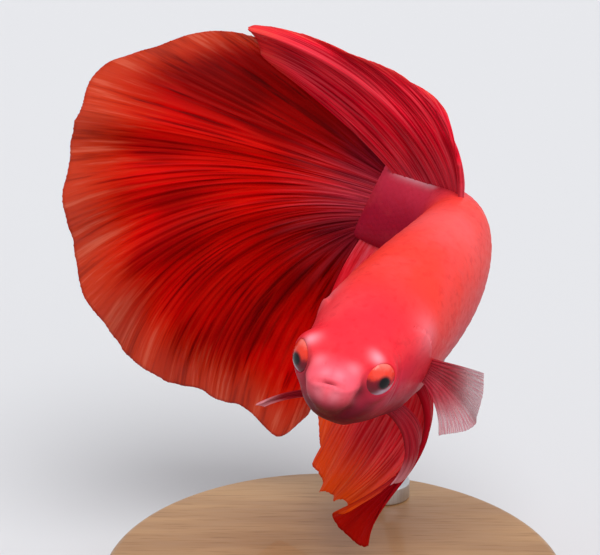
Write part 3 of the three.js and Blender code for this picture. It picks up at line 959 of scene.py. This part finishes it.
def blank_material(name):
    """A material with a Principled surface, its tree, and that surface's inputs."""
    material = bpy.data.materials.new(name)
    material.use_nodes = True
    tree = Tree(material.node_tree)
    return material, tree, material.node_tree.nodes["Principled BSDF"].inputs


def object_place(tree):
    """A point's place on its piece, whose own coordinates are the frame's."""
    return tree.node("ShaderNodeTexCoord").outputs["Object"]


def flesh_material(name):
    """Wet skin or scales: the body's markings under a soft gloss."""
    material, tree, surface = blank_material(name)
    inputs = {key: tree.mark(key.lower()) for key in FLESH_MARKS}
    look = tree.group(GROUPS["flesh"], inputs | {"Vector": object_place(tree)})
    tree.feed(surface["Base Color"], look["Color"])
    tree.feed(surface["Roughness"], look["Roughness"])
    surface["Specular IOR Level"].default_value = SKIN_GLOSS
    grain = tree.group(GROUPS["grain"], {"Vector": object_place(tree), "Scale": 9000.0})
    tree.bump(surface, grain["Height"], 0.25, 0.03 * MM)
    return material


def fin_material(name, colours, margin_start, opened, margin_opened, ray_hold=0.85):
    """A fin's web: its markings on a glossy surface that lets some light through from behind."""
    material, tree, surface = blank_material(name)
    inputs = {key: tree.mark(key.lower()) for key in FIN_MARKS}
    inputs.update({key: colour(*value) for key, value in zip(FIN_COLOURS, colours)})
    inputs.update(zip(FIN_NUMBERS, (margin_start, opened, margin_opened, ray_hold)))
    look = tree.group(GROUPS["fin"], inputs)
    for key in ("Alpha", "Roughness"):
        tree.feed(surface[key], look[key])
    tree.feed(surface["Base Color"], look["Color"])
    surface["Specular IOR Level"].default_value = FIN_GLOSS
    through = tree.node("ShaderNodeBsdfTranslucent", {"Color": look["Color"]})
    clear = tree.node("ShaderNodeBsdfTransparent")
    behind = {0: look["Alpha"], 1: clear.outputs[0], 2: through.outputs[0]}
    behind = tree.node("ShaderNodeMixShader", behind).outputs[0]
    principled = material.node_tree.nodes["Principled BSDF"].outputs[0]
    both = tree.node("ShaderNodeMixShader", {0: FIN_GLOW, 1: principled, 2: behind}).outputs[0]
    tree.feed(material.node_tree.nodes["Material Output"].inputs["Surface"], both)
    return material


def eye_material():
    """An eye: a soft black pupil in an iris orange-red above and lilac below, with the socket's shade
    painted dark crimson in front and light painted on its very top.
    """
    material, tree, surface = blank_material("eye_wet")
    turn, rise, forward = tree.mark("from_gaze"), tree.mark("upward"), tree.mark("forward")
    speckle = tree.noise(object_place(tree), 2600.0, 3.0)
    uneven = tree.math("MULTIPLY_ADD", tree.math("SUBTRACT", speckle, 0.5), 0.3, rise)
    # front: painted shade, where the socket's hollow shades the front of the ball
    front = tree.ramp(forward, 0.5, 0.85)
    low = tree.mix(front, colour(226, 196, 222), colour(130, 14, 38))
    middle = tree.mix(front, colour(196, 56, 70), colour(130, 10, 34))
    iris = tree.paint(
        low,
        (tree.ramp(uneven, -0.5, -0.15), middle),
        (tree.ramp(uneven, -0.05, 0.35), colour(244, 62, 44)),
        # painted light on the very top of the ball
        (tree.ramp(uneven, 0.5, 0.9), colour(255, 120, 108)),
    )
    iris = tree.mix(tree.ramp(turn, 0.08, 0.15), colour(70, 8, 22), iris)
    pupil = tree.ramp(turn, 0.07, 0.1)
    tree.feed(surface["Base Color"], tree.mix(pupil, colour(4, 0, 2), iris))
    tree.feed(surface["Roughness"], tree.ramp(speckle, 0.2, 0.8, 0.1, 0.18))
    surface["Specular IOR Level"].default_value = 0.25
    return material


def wood_material():
    """Oiled cherry, turned: long wavering grain lines along X, and fine dark pores."""
    material, tree, surface = blank_material("cherry_wood")
    stretched = tree.stretch(object_place(tree), 12.0, 160.0, 160.0)
    rings = tree.noise(stretched, 2.2, 4.0, 0.6)
    wavering = {"Vector": stretched, "Scale": 0.7, "Distortion": 5.0, "Detail": 3.0}
    bands = tree.node("ShaderNodeTexWave", wavering).outputs["Fac"]
    pores = tree.noise(tree.stretch(object_place(tree), 250.0, 3800.0, 3800.0), 1.0, 2.0)
    wood = tree.paint(
        colour(186, 142, 94),
        (tree.ramp(rings, 0.3, 0.7), colour(164, 120, 76)),
        (tree.ramp(bands, 0.5, 1.0, 0.0, 0.3), colour(146, 104, 64)),
        (tree.ramp(pores, 0.56, 0.72, 0.0, 0.35), colour(112, 76, 46)),
    )
    tree.feed(surface["Base Color"], wood)
    tree.feed(surface["Roughness"], tree.ramp(pores, 0.3, 0.7, 0.36, 0.52))
    surface["Coat Weight"].default_value = 0.2
    tree.bump(surface, pores, 0.2, 0.03 * MM)
    return material


def steel_material():
    """Drawn steel: fine scratches along the rod change its roughness and height."""
    material, tree, surface = blank_material("drawn_steel")
    scratches = tree.noise(tree.stretch(object_place(tree), 9000.0, 9000.0, 500.0), 1.0, 3.0)
    surface["Metallic"].default_value = 1.0
    shade = tree.mix(tree.ramp(scratches, 0.3, 0.7), colour(188, 190, 194), colour(202, 204, 207))
    tree.feed(surface["Base Color"], shade)
    tree.feed(surface["Roughness"], tree.ramp(scratches, 0.3, 0.7, 0.3, 0.38))
    tree.bump(surface, scratches, 0.06, 0.005 * MM)
    return material


# The colours of a fin: root, web, margin, ray, the painted shade of its creases, and what its parts
# under painted shade are multiplied by.
WHITE = (255, 255, 255)
LILAC = (190, 60, 110)
RED_FIN = [(194, 42, 70), (220, 0, 0), (208, 56, 16), (240, 38, 22), (84, 0, 4), (170, 90, 120)]
CRIMSON_FIN = [(240, 50, 80), (246, 10, 48), (248, 56, 62), (255, 104, 116), (132, 0, 16), WHITE]
ORANGE_FIN = [(226, 50, 62), (255, 40, 58), (255, 88, 16), (255, 124, 126), (196, 6, 22), LILAC]
CLEAR_FIN = [(186, 24, 44), (186, 40, 60), (188, 104, 120), (190, 50, 68), (180, 50, 66), WHITE]
PALE_TIPPED_FIN = [(186, 24, 44), (190, 26, 42), (236, 160, 170), (214, 62, 76), (130, 10, 30), WHITE]

# After a fin's colours: where its margin begins, and how solid its web, margin and rays are.
MATERIALS = {
    "skin": flesh_material("wet_skin"),
    "scales": flesh_material("wet_scales"),
    "red_fin": fin_material("red_fin", RED_FIN, 0.74, 1.0, 0.86),
    "dorsal_fin": fin_material("crimson_fin", CRIMSON_FIN, 0.8, 1.0, 0.9),
    "anal_fin": fin_material("red_orange_fin", ORANGE_FIN, 0.6, 1.0, 0.9),
    "clear_fin": fin_material("clear_fin", CLEAR_FIN, 0.3, 0.85, 0.32, 0.62),
    "pelvic_fin": fin_material("white_tipped_fin", PALE_TIPPED_FIN, 0.66, 0.95, 0.8),
    "eye": eye_material(),
    "wood": wood_material(),
    "steel": steel_material(),
}

# ---------------------------------------------------------------- the fish's pieces


def flesh_marks(points):
    """Marks for the flesh: place along the body, height as a share of its reach, dark painted shade and
    pale painted highlights.

    Pale is a sum of bells at PAINTED_HIGHLIGHTS, and dark one at PAINTED_SHADE_SPOTS with the mouth's
    slit. The reach has a constant added, so that the height fades out at the very tip.
    """
    reach = np.sqrt(body_size(points[..., 0], points[..., 2] > 0)[1])
    return {
        "along": points[..., 0] / BODY_LENGTH,
        "height": points[..., 2] / (reach + TIP_REACH),
        # dark is painted shade in the mouth and hollows, pale is painted highlights
        "dark": np.clip(MOUTH["dark"] * mouth_mask(points) + spots_at(points, PAINTED_SHADE_SPOTS), 0, 1),
        "pale": np.clip(spots_at(points, PAINTED_HIGHLIGHTS), 0, 1),
    }


def add_skin():
    """One closed skin from snout to tail stalk, over all the flesh."""
    quarter = np.linspace(0, np.pi / 2, SKIN_RINGS["nose"])
    nose = NOSE["tip"] + (NOSE["end"] - NOSE["tip"]) * (1 - np.cos(quarter))
    head = np.linspace(NOSE["end"], HEAD_END, SKIN_RINGS["head"])[1:]
    trunk = np.linspace(HEAD_END, STALK_END["start"], SKIN_RINGS["trunk"])[1:]
    closing = np.sin(np.linspace(0, np.pi / 2, SKIN_RINGS["end"]))[1:]
    end = STALK_END["start"] + (STALK_END["tip"] - STALK_END["start"]) * closing
    distance = np.concatenate([nose, head, trunk, end])[:, None]
    angle = np.linspace(0, 2 * np.pi, SKIN_SIDES, endpoint=False)[None, :]
    points, faces, corners = closed_tube(skin_point(distance, angle))
    plain = body_surface(distance, angle)[0]
    marks = {key: per_ring(values) for key, values in flesh_marks(plain).items()}
    piece = lay_down("skin", points, faces, MATERIALS["skin"], corners, marks)
    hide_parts("head", "lower_jaw", "gill_cover_left", "gill_cover_right", "trunk", "tail_stalk")


def girth(distance):
    """The way round the body at each distance, by Ramanujan's formula for an ellipse."""
    above, below, half_width = np.moveaxis(section(distance), -1, 0)
    tall = 0.5 * (above + below)
    ratio = ((tall - half_width) / (tall + half_width)) ** 2
    return np.pi * (tall + half_width) * (1 + 3 * ratio / (10 + np.sqrt(4 - 3 * ratio)))


def grown(law, distance):
    """A share that eases up to 1 between two distances."""
    first, last, least = law
    return least + (1 - least) * smooth_step(first, last, distance)


def scale_rings():
    """Distances of the rings of scales: each follows the last by its pitch, a share of its width."""
    rings = [SCALES["from"]]
    while rings[-1] < SCALES["to"]:
        width = girth(np.array(rings[-1])) / SCALES["round"]
        pitch = SCALES["pitch"] * width * grown(SCALES["longer"], rings[-1])
        rings.append(rings[-1] + max(SCALES["least"], pitch))
    return np.array(rings[:-1])


def even_angles(distance, share):
    """Angles that part the way round the body into equal shares, by its summed-up short chords."""
    fine = np.linspace(0, 2 * np.pi, 721)
    points = body_surface(distance[:, None], fine[None, :])[0]
    chords = np.linalg.norm(np.diff(points, axis=1), axis=-1)
    run = np.concatenate([np.zeros((len(distance), 1)), np.cumsum(chords, axis=1)], axis=1)
    run /= run[:, -1:]
    turns = np.floor(share)
    found = [np.interp(row_share - turn, row, fine) for row_share, turn, row in zip(share, turns, run)]
    return np.array(found) + turns * 2 * np.pi


def plate_grid():
    """One scale's grid: forward from its root (0 to 1) and sideways (-1 to 1).

    The front edge is straight and the rear edge is an arc, forward 0.45 + 0.55 cos and sideways
    sin of an angle that runs to both sides. A row between them is their mixture. The last rows
    lie close to the rim, which keeps its edge crisp.
    """
    along = np.array(PLATE["along"])[:, None]
    across = np.array(PLATE["across"])[None, :]
    turn = across * PLATE["arc"]
    forward = along * (0.45 + 0.55 * np.cos(turn))
    sideways = (1 - along**2) * across + along**2 * np.sin(turn) / math.sin(PLATE["arc"])
    return forward, sideways


def scale_roots():
    """Distance, angle and row pitch of every scale's root, in rings set half a plate apart."""
    rings, count = scale_rings(), SCALES["round"]
    ring = np.repeat(np.arange(len(rings)), count)
    share = (np.tile(np.arange(count), len(rings)) + 0.5 * (ring % 2)) / count
    angle = even_angles(rings, share.reshape(len(rings), count)).ravel()
    in_fish = body_surface(rings[ring], angle)[0]
    clear_of_eye = np.linalg.norm(on_left(in_fish) - EYE, axis=-1) > EYE_RADIUS + SCALES["off_eye"]
    on_face = (in_fish[:, 0] < SCALES["face"]) & (in_fish[:, 2] < SCALES["crown"])
    kept = clear_of_eye & ~on_face
    return rings[ring][kept], angle[kept], np.gradient(rings)[ring][kept]


def both_sides(upper, under):
    """Each plate's upper and under grid as one list."""
    lists = [grid.reshape(len(grid), -1, *grid.shape[3:]) for grid in (upper, under)]
    return np.concatenate(lists, axis=1)


def arc_rate(distance, angle):
    """How fast the angle turns for an even way round: mean radius over the local chord per radian."""
    turn = 0.02
    ahead = body_surface(distance, angle + turn)[0]
    behind = body_surface(distance, angle - turn)[0]
    chord = np.linalg.norm(ahead - behind, axis=-1) / (2 * turn)
    return girth(distance) / (2 * np.pi) / np.maximum(chord, SCALES["least_radius"])


def add_scales():
    """Overlapping plates over the skin.

    A plate rises evenly from its sunk root to its free rear edge, and its sides curve down into the
    skin with the square of the place across. On the head the plates are smaller and flatter.
    """
    root, root_angle, pitch = scale_roots()
    plates = len(root)
    chance = np.array(SCALES["uneven"]) * np.random.default_rng(29).uniform(-1, 1, (plates, 2))
    forward, sideways = plate_grid()
    size = pitch * PLATE["length"] * (1 + chance[:, 0])
    turn = PLATE["width"] * np.pi / SCALES["round"] * arc_rate(root, root_angle)
    distance = root[:, None, None] + size[:, None, None] * forward
    angle = root_angle[:, None, None] + turn[:, None, None] * sideways
    lift = PLATE["rise"] * ((1 + PLATE["sunk"]) * forward - PLATE["sunk"])
    lift = lift - PLATE["dome"] * sideways**2
    lift = lift * (grown(SCALES["higher"], root) * (1 + chance[:, 1]))[:, None, None]
    facing = skin_facing(distance, angle)
    top = skin_point(distance, angle) + facing * lift[..., None]
    under = (top - facing * PLATE["thickness"])[:, 1:-1, 1:-1]

    rows, columns = top.shape[1:3]
    points = both_sides(top, under)
    row, column = grid_corners(rows, columns, flip=True)
    upper = row * columns + column
    rim = (row == 0) | (row == rows - 1) | (column == 0) | (column == columns - 1)
    lower = np.where(rim, upper, rows * columns + (row - 1) * (columns - 2) + column - 1)
    template = np.concatenate([upper, lower[:, ::-1]])
    faces = (template[None] + (np.arange(plates) * points.shape[1])[:, None, None]).reshape(-1, 4)

    home = np.stack([root_angle / (2 * np.pi) % 1.0, root / BODY_LENGTH], -1)
    home = home * (1 - 2 * MAP_MARGIN) + MAP_MARGIN
    upper_map = np.stack([column / (columns - 1) - 0.5, row / (rows - 1) - 0.5], -1)
    plate_map = np.concatenate([upper_map, upper_map[:, ::-1]]) * PLATE["patch"]
    corners = (home[:, None, None, :] + plate_map[None]).reshape(-1, 2)

    marked = [both_sides(grid, grid[:, 1:-1, 1:-1]) for grid in (distance, angle)]
    marks = flesh_marks(body_surface(*marked)[0])
    on_top = np.tile(np.arange(len(template)) < len(upper), plates)
    points = points.reshape(-1, 3)
    lay_down("scales", points, [faces], MATERIALS["scales"], corners, marks, on_top)


def add_eye(side):
    """A flattened ball in rings about the gaze, with the clear front swelling a little.

    The radius is the eye's times 1 plus a bell of the angle from the gaze, and the part of it that
    runs along the socket's axis is shortened by the flatness.
    """
    outward, upward = np.radians(GAZE[side])
    mirror = 1 if side == "left" else -1
    back, left, up = directions(np.array(EYE[0]))
    gaze = aim(math.atan2(-back[1], -back[0]) + mirror * outward, upward)
    axis = socket_axis() @ np.stack([back, mirror * left, up])
    across = unit(np.cross(gaze, [0, 0, 1]))
    above = np.cross(across, gaze)
    from_gaze = np.linspace(0, np.pi, EYEBALL["rings"])[:, None]
    round_it = np.linspace(0, 2 * np.pi, EYEBALL["sides"], endpoint=False)[None, :]
    swelling = 1 + EYEBALL["bulge"] * bell(from_gaze, EYEBALL["spread"])
    facing = aim(round_it, np.pi / 2 - from_gaze + 0 * round_it) @ np.stack([across, above, gaze])
    ball = facing * (EYE_RADIUS * swelling - EYEBALL["inset"])[..., None]
    ball = ball - (1 - EYEBALL["flatness"]) * (ball @ axis)[..., None] * axis
    points, faces, corners = closed_tube((eye_centre(side) + ball)[::-1])
    marks = {
        "from_gaze": per_ring(from_gaze[::-1] / np.pi + 0 * round_it),
        "upward": per_ring(facing[::-1] @ up),
        "forward": per_ring(facing[::-1] @ -back),
    }
    piece = lay_down(f"eyeball_{side}", points, faces, MATERIALS["eye"], corners, marks)
    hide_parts(f"eye_{side}")


def ray_pattern(fin, across, along, spacing):
    """The rays of a fin, and the folds of the web between them.

    phase counts the rays across the fin, unevenly. A ray splits up to three times on its way out:
    its branches stand at plus and minus a quarter, then an eighth, then a sixteenth of the phase,
    so the distance to the nearest is found by folding the phase over three times. A ray's ridge is
    a bell of that distance in millimetres, and the web between two sinks with the distance.
    """
    count, seed = fin["rays"], fin["seed"]
    phase = count * across + UNEVEN_RAYS["share"] * wander(across * count * UNEVEN_RAYS["rate"], seed)
    folded = np.abs(phase - np.round(phase))
    half_gap = 0.5
    for split, first in zip((0.25, 0.125, 0.0625), fin["branches"]):
        part = split * smooth_step(first, first + RAY_SPLIT, along)
        folded = np.abs(folded - part)
        half_gap = half_gap - part
    gap = folded * spacing / count
    width = np.interp(along, (0, 1), RAY_WIDTH)
    ridge = bell(gap, width)
    sunk = np.clip(folded / half_gap, 0, 1)
    varied = wander(across * count * FOLD_STRENGTH["rate"], seed + 1)
    strength = FOLD_STRENGTH["mean"] + FOLD_STRENGTH["share"] * varied
    spread = smooth_step(0.0, FOLD_FADES["root"], along)
    spread = spread * (1 - FOLD_FADES["share"] * smooth_step(FOLD_FADES["from"], 1.0, along))
    room = np.clip(2 * half_gap * spacing / count / FULL_FOLD_GAP, 0, 1)
    fold = fin["fold"] * room * strength * spread * (0.5 - sunk ** FOLD_STRENGTH["power"])
    # crease marks where the web sinks lowest between rays, which the material paints in shade
    crease = np.clip(strength, 0, 1) * smooth_step(*CREASE["sunk"], sunk) * spread
    return ridge, fold, np.clip(crease * (1 - smooth_step(*CREASE["ends"], along)), 0, 1)


def fin_middle(fin, across, along):
    """The middle surface of a fin: short steps along each turning ray, summed up from its start.

    A step's direction is cos(left) cos(angle) back + cos(left) sin(angle) up + sin(left) left, with
    both angles turned by their bends and curls and pushed from side to side by the pleats. The
    lobes draw the lengths in and out by a cosine across the fin.
    """
    ray = np.moveaxis(smooth_through(fin["rows"])(across), -1, 0)
    at, height, side, angle, left_angle, length, bend, left_bend = ray[:8]
    curl, left_curl = ray[8:] if len(ray) > 8 else (0.0, 0.0)
    count, depth = fin["lobes"]
    lobed = length * (1 - depth * (0.5 + 0.5 * np.cos(2 * np.pi * count * across)))
    pleats, pleat_height = fin["pleats"]
    swing = pleat_height / lobed * np.sin(2 * np.pi * pleats * across)
    middles = (0.5 * (along[1:] + along[:-1]))[:, None]
    bent = middles ** fin["bend_law"]
    turned = np.radians(angle + bend * bent + curl * middles**2)
    turned_left = np.radians(left_angle + left_bend * bent + left_curl * middles**2)
    turned_left = turned_left + 2 * swing * middles
    back, left, up = directions(at)
    parts = np.moveaxis(aim(turned, turned_left), -1, 0)[..., None]
    heading_out = parts[0] * back + parts[1] * up + parts[2] * left
    steps = heading_out * (np.diff(along)[:, None] * lobed)[..., None]
    return place(at, side, height) + np.concatenate([0 * steps[:1], np.cumsum(steps, axis=0)])


def ragged(fin, across, along, ridge):
    """How far the margin is drawn in between the rays' tips, growing with a high power of along."""
    chance = 0.5 + 0.5 * wander(across * fin["rays"] * 2, fin["seed"] + 2)
    drawn_in = chance + FRAY["between_rays"] * (1 - ridge[-1] - chance)
    return 1 - FRAY["depth"] * along ** FRAY["power"] * drawn_in


def add_fin(name, material):
    """A fin as a thin closed sheet: its folded middle surface moved both ways along its normal.

    It is moved by half the web's thickness, which falls evenly from the body to the margin, and by
    the rays' ridges, and both thin out over the last rows.
    """
    fin = FIN_BASICS | FINS[name]
    across = np.linspace(0, 1, fin["columns"])
    along = np.linspace(0, 1, fin["rings"] + 1)
    plain = fin_middle(fin, across, along)
    spacing = np.linalg.norm(np.gradient(plain, across, axis=1), axis=-1)
    along, across = np.meshgrid(along, across, indexing="ij")
    ridge, fold, crease = ray_pattern(fin, across[:1], along, spacing)
    drawn = ragged(fin, across[:1], along, ridge)
    middle = plain[0] + (plain - plain[0]) * drawn[..., None]
    normal = unit(np.cross(np.gradient(plain, axis=1), np.gradient(plain, axis=0)))
    half = 0.5 * np.interp(along, (0, 1), FIN_THICKNESS) + ridge * np.interp(along, (0, 1), RAY_HEIGHT)
    half = half * (1 - MARGIN_EDGE["thinned"] * smooth_step(MARGIN_EDGE["from"], 1.0, along))
    front = middle + normal * (fold + half)[..., None]
    rear = middle + normal * (fold - half)[..., None]
    points, faces, corners = closed_sheet(front, rear)
    # Painted shade: across the fin's first part and at its root, fading towards the margin.
    at_root = smooth_step(*fin["shaded"], across) * (1 - smooth_step(*ROOT_END, along))
    painted_shade = np.maximum(1 - smooth_step(*fin["painted_shade"], across), PAINTED_SHADE_SHARE["root"] * at_root)
    painted_shade = painted_shade * (1 - PAINTED_SHADE_SHARE["faded"] * smooth_step(*fin["painted_shade_fades"], along))
    values = {"along": along, "across": across, "ray": ridge, "crease": crease, "painted_shade": painted_shade}
    marks = {key: np.concatenate([value.ravel()] * 2) for key, value in values.items()}
    piece = lay_down(f"{name}_web", points, faces, material, corners, marks)
    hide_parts(name)


# ---------------------------------------------------------------- the stand


def turned_form(name, profile, middle, axis, material, sides=128):
    """A turned form: profile points [radius, height] carried round an axis that starts at middle."""
    axis = unit(np.array(axis, float))
    first = unit(np.cross(axis, [1.0, 0.0, 0.0] if abs(axis[0]) < 0.9 else [0.0, 1.0, 0.0]))
    second = np.cross(axis, first)
    turn = np.linspace(0, 2 * np.pi, sides, endpoint=False)
    outward = np.cos(turn)[:, None] * first + np.sin(turn)[:, None] * second
    radius, height = np.array(profile, float).T
    rings = np.array(middle) + radius[:, None, None] * outward + (height[:, None] * axis)[:, None, :]
    points, faces, corners = closed_tube(rings)
    return lay_down(name, points, faces, material, corners)


def rounded_disc(radius, height, edge, steps=9):
    """The profile of a disc: its lower and upper edges are quarter circles."""
    turn = np.linspace(0, np.pi / 2, steps)
    low_edge = STAND_EDGES["lower"]
    lower = np.stack([radius - low_edge + low_edge * np.sin(turn), low_edge * (1 - np.cos(turn))], -1)
    upper = np.stack([radius - edge + edge * np.cos(turn), height - edge + edge * np.sin(turn)], -1)
    underside, top = [[0, 0], [0.5 * radius, 0]], [[0.5 * radius, height], [0, height]]
    return np.concatenate([underside, lower, upper, top])


def node_points(name):
    """The points of a CAD node, in millimetres."""
    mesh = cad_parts[name].data
    points = np.empty(3 * len(mesh.vertices), np.float32)
    mesh.vertices.foreach_get("co", points)
    return points.reshape(-1, 3) / MM


def turned_disc(name, box, edge, finish, sides=128):
    """A disc turned to fill a box given in metres."""
    low, high = (np.array(corner) / MM for corner in box)
    middle = 0.5 * (low + high)
    profile = rounded_disc(0.5 * (high[0] - low[0]), high[2] - low[2], edge)
    foot = [middle[0], middle[1], low[2]]
    return turned_form(name, profile, foot, [0, 0, 1], MATERIALS[finish], sides)


def drawn_rod(points):
    """The rod, whose foot, axis, radius and length are read off the points of its CAD node."""
    height = points[:, 2] - points[:, 2].min()
    foot = points[height < ROD["foot"]].mean(axis=0)
    axis = unit(points[height > ROD["upper"]].mean(axis=0) - foot)
    along = (points - foot) @ axis
    radius = np.median(np.linalg.norm(points - foot - along[:, None] * axis, axis=1))
    length = along.max() + ROD["inside"]
    rounded = [[radius, length - ROD["rounding"]], [0, length]]
    profile = [[0, 0], [radius, 0.01], [radius, 0.5 * length], *rounded]
    return turned_form("rod_drawn", profile, foot, axis, MATERIALS["steel"], 48)


def add_stand():
    """The turned wooden base, the turned collar, and the leaning rod."""
    base = turned_disc("base_turned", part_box("stand_base"), STAND_EDGES["base"], "wood", 192)
    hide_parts("stand_base")
    collar = turned_disc("collar_turned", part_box("stand_collar"), STAND_EDGES["collar"], "steel")
    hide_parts("stand_collar")
    rod = drawn_rod(node_points("stand_rod"))
    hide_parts("stand_rod")


# ---------------------------------------------------------------- floor, light and camera


def seen_rays(tree):
    """1 for the rays that the camera sees a surface by, straight, mirrored or through another."""
    path = tree.node("ShaderNodeLightPath").outputs
    indirect = tree.math("MAXIMUM", path["Is Glossy Ray"], path["Is Transmission Ray"])
    return tree.math("MAXIMUM", path["Is Camera Ray"], indirect)


def add_floor():
    """A plain pale floor. It shows pale, and throws less light back up at the fish."""
    mesh = bpy.data.meshes.new("floor")
    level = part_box("stand_base")[0][2]
    square = FLOOR_SIZE * np.array([(-1, -1), (1, -1), (1, 1), (-1, 1)])
    mesh.from_pydata([(x, y, level) for x, y in square], [], [(0, 1, 2, 3)])
    material, tree, surface = blank_material("pale_floor")
    shade = tree.mix(seen_rays(tree), colour(140, 140, 142), colour(222, 222, 225))
    tree.feed(surface["Base Color"], shade)
    surface["Roughness"].default_value = 0.9
    mesh.materials.append(material)
    floor = bpy.data.objects.new("floor", mesh)
    bpy.context.scene.collection.objects.link(floor)


def add_sun(name, strength, spread, turned, lowered):
    """A sun lamp that shines from a side (turned from the front, + to the right) and a height."""
    lamp = bpy.data.lights.new(name, "SUN")
    lamp.energy = strength
    lamp.angle = math.radians(spread)
    holder = bpy.data.objects.new(name, lamp)
    holder.rotation_euler = (math.radians(90 - lowered), 0, math.radians(turned))
    bpy.context.scene.collection.objects.link(holder)


def add_lights():
    """A broad sun from above and in front, a soft one from the front, and an even pale surround."""
    for name, settings in LAMPS.items():
        add_sun(name, *settings)
    world = bpy.data.worlds.new("surround")
    world.use_nodes = True
    tree = Tree(world.node_tree)
    background = world.node_tree.nodes["Background"].inputs
    shade = tree.mix(seen_rays(tree), colour(168, 170, 172), colour(226, 226, 229))
    tree.feed(background["Color"], shade)
    bpy.context.scene.world = world


def add_camera():
    """A long lens in front of the fish and above it, looking down."""
    data = bpy.data.cameras.new("camera")
    data.lens = CAMERA["lens"]
    data.sensor_width = CAMERA["sensor"]
    data.clip_start = CAMERA["clip"] * MM
    camera = bpy.data.objects.new("camera", data)
    camera.location = np.array(CAMERA["at"]) * MM
    camera.rotation_euler = (math.radians(90 - CAMERA["down"]), 0, 0)
    bpy.context.scene.collection.objects.link(camera)
    bpy.context.scene.camera = camera


# ---------------------------------------------------------------- all together

add_camera()
add_skin()
add_scales()
for side in ("left", "right"):
    add_eye(side)
    add_fin(f"pectoral_fin_{side}", MATERIALS["clear_fin"])
    add_fin(f"pelvic_fin_{side}", MATERIALS["pelvic_fin"])
add_fin("caudal_fin", MATERIALS["red_fin"])
add_fin("dorsal_fin", MATERIALS["dorsal_fin"])
add_fin("anal_fin", MATERIALS["anal_fin"])
add_stand()
add_floor()
add_lights()
bpy.context.scene.view_settings.view_transform = "Standard"
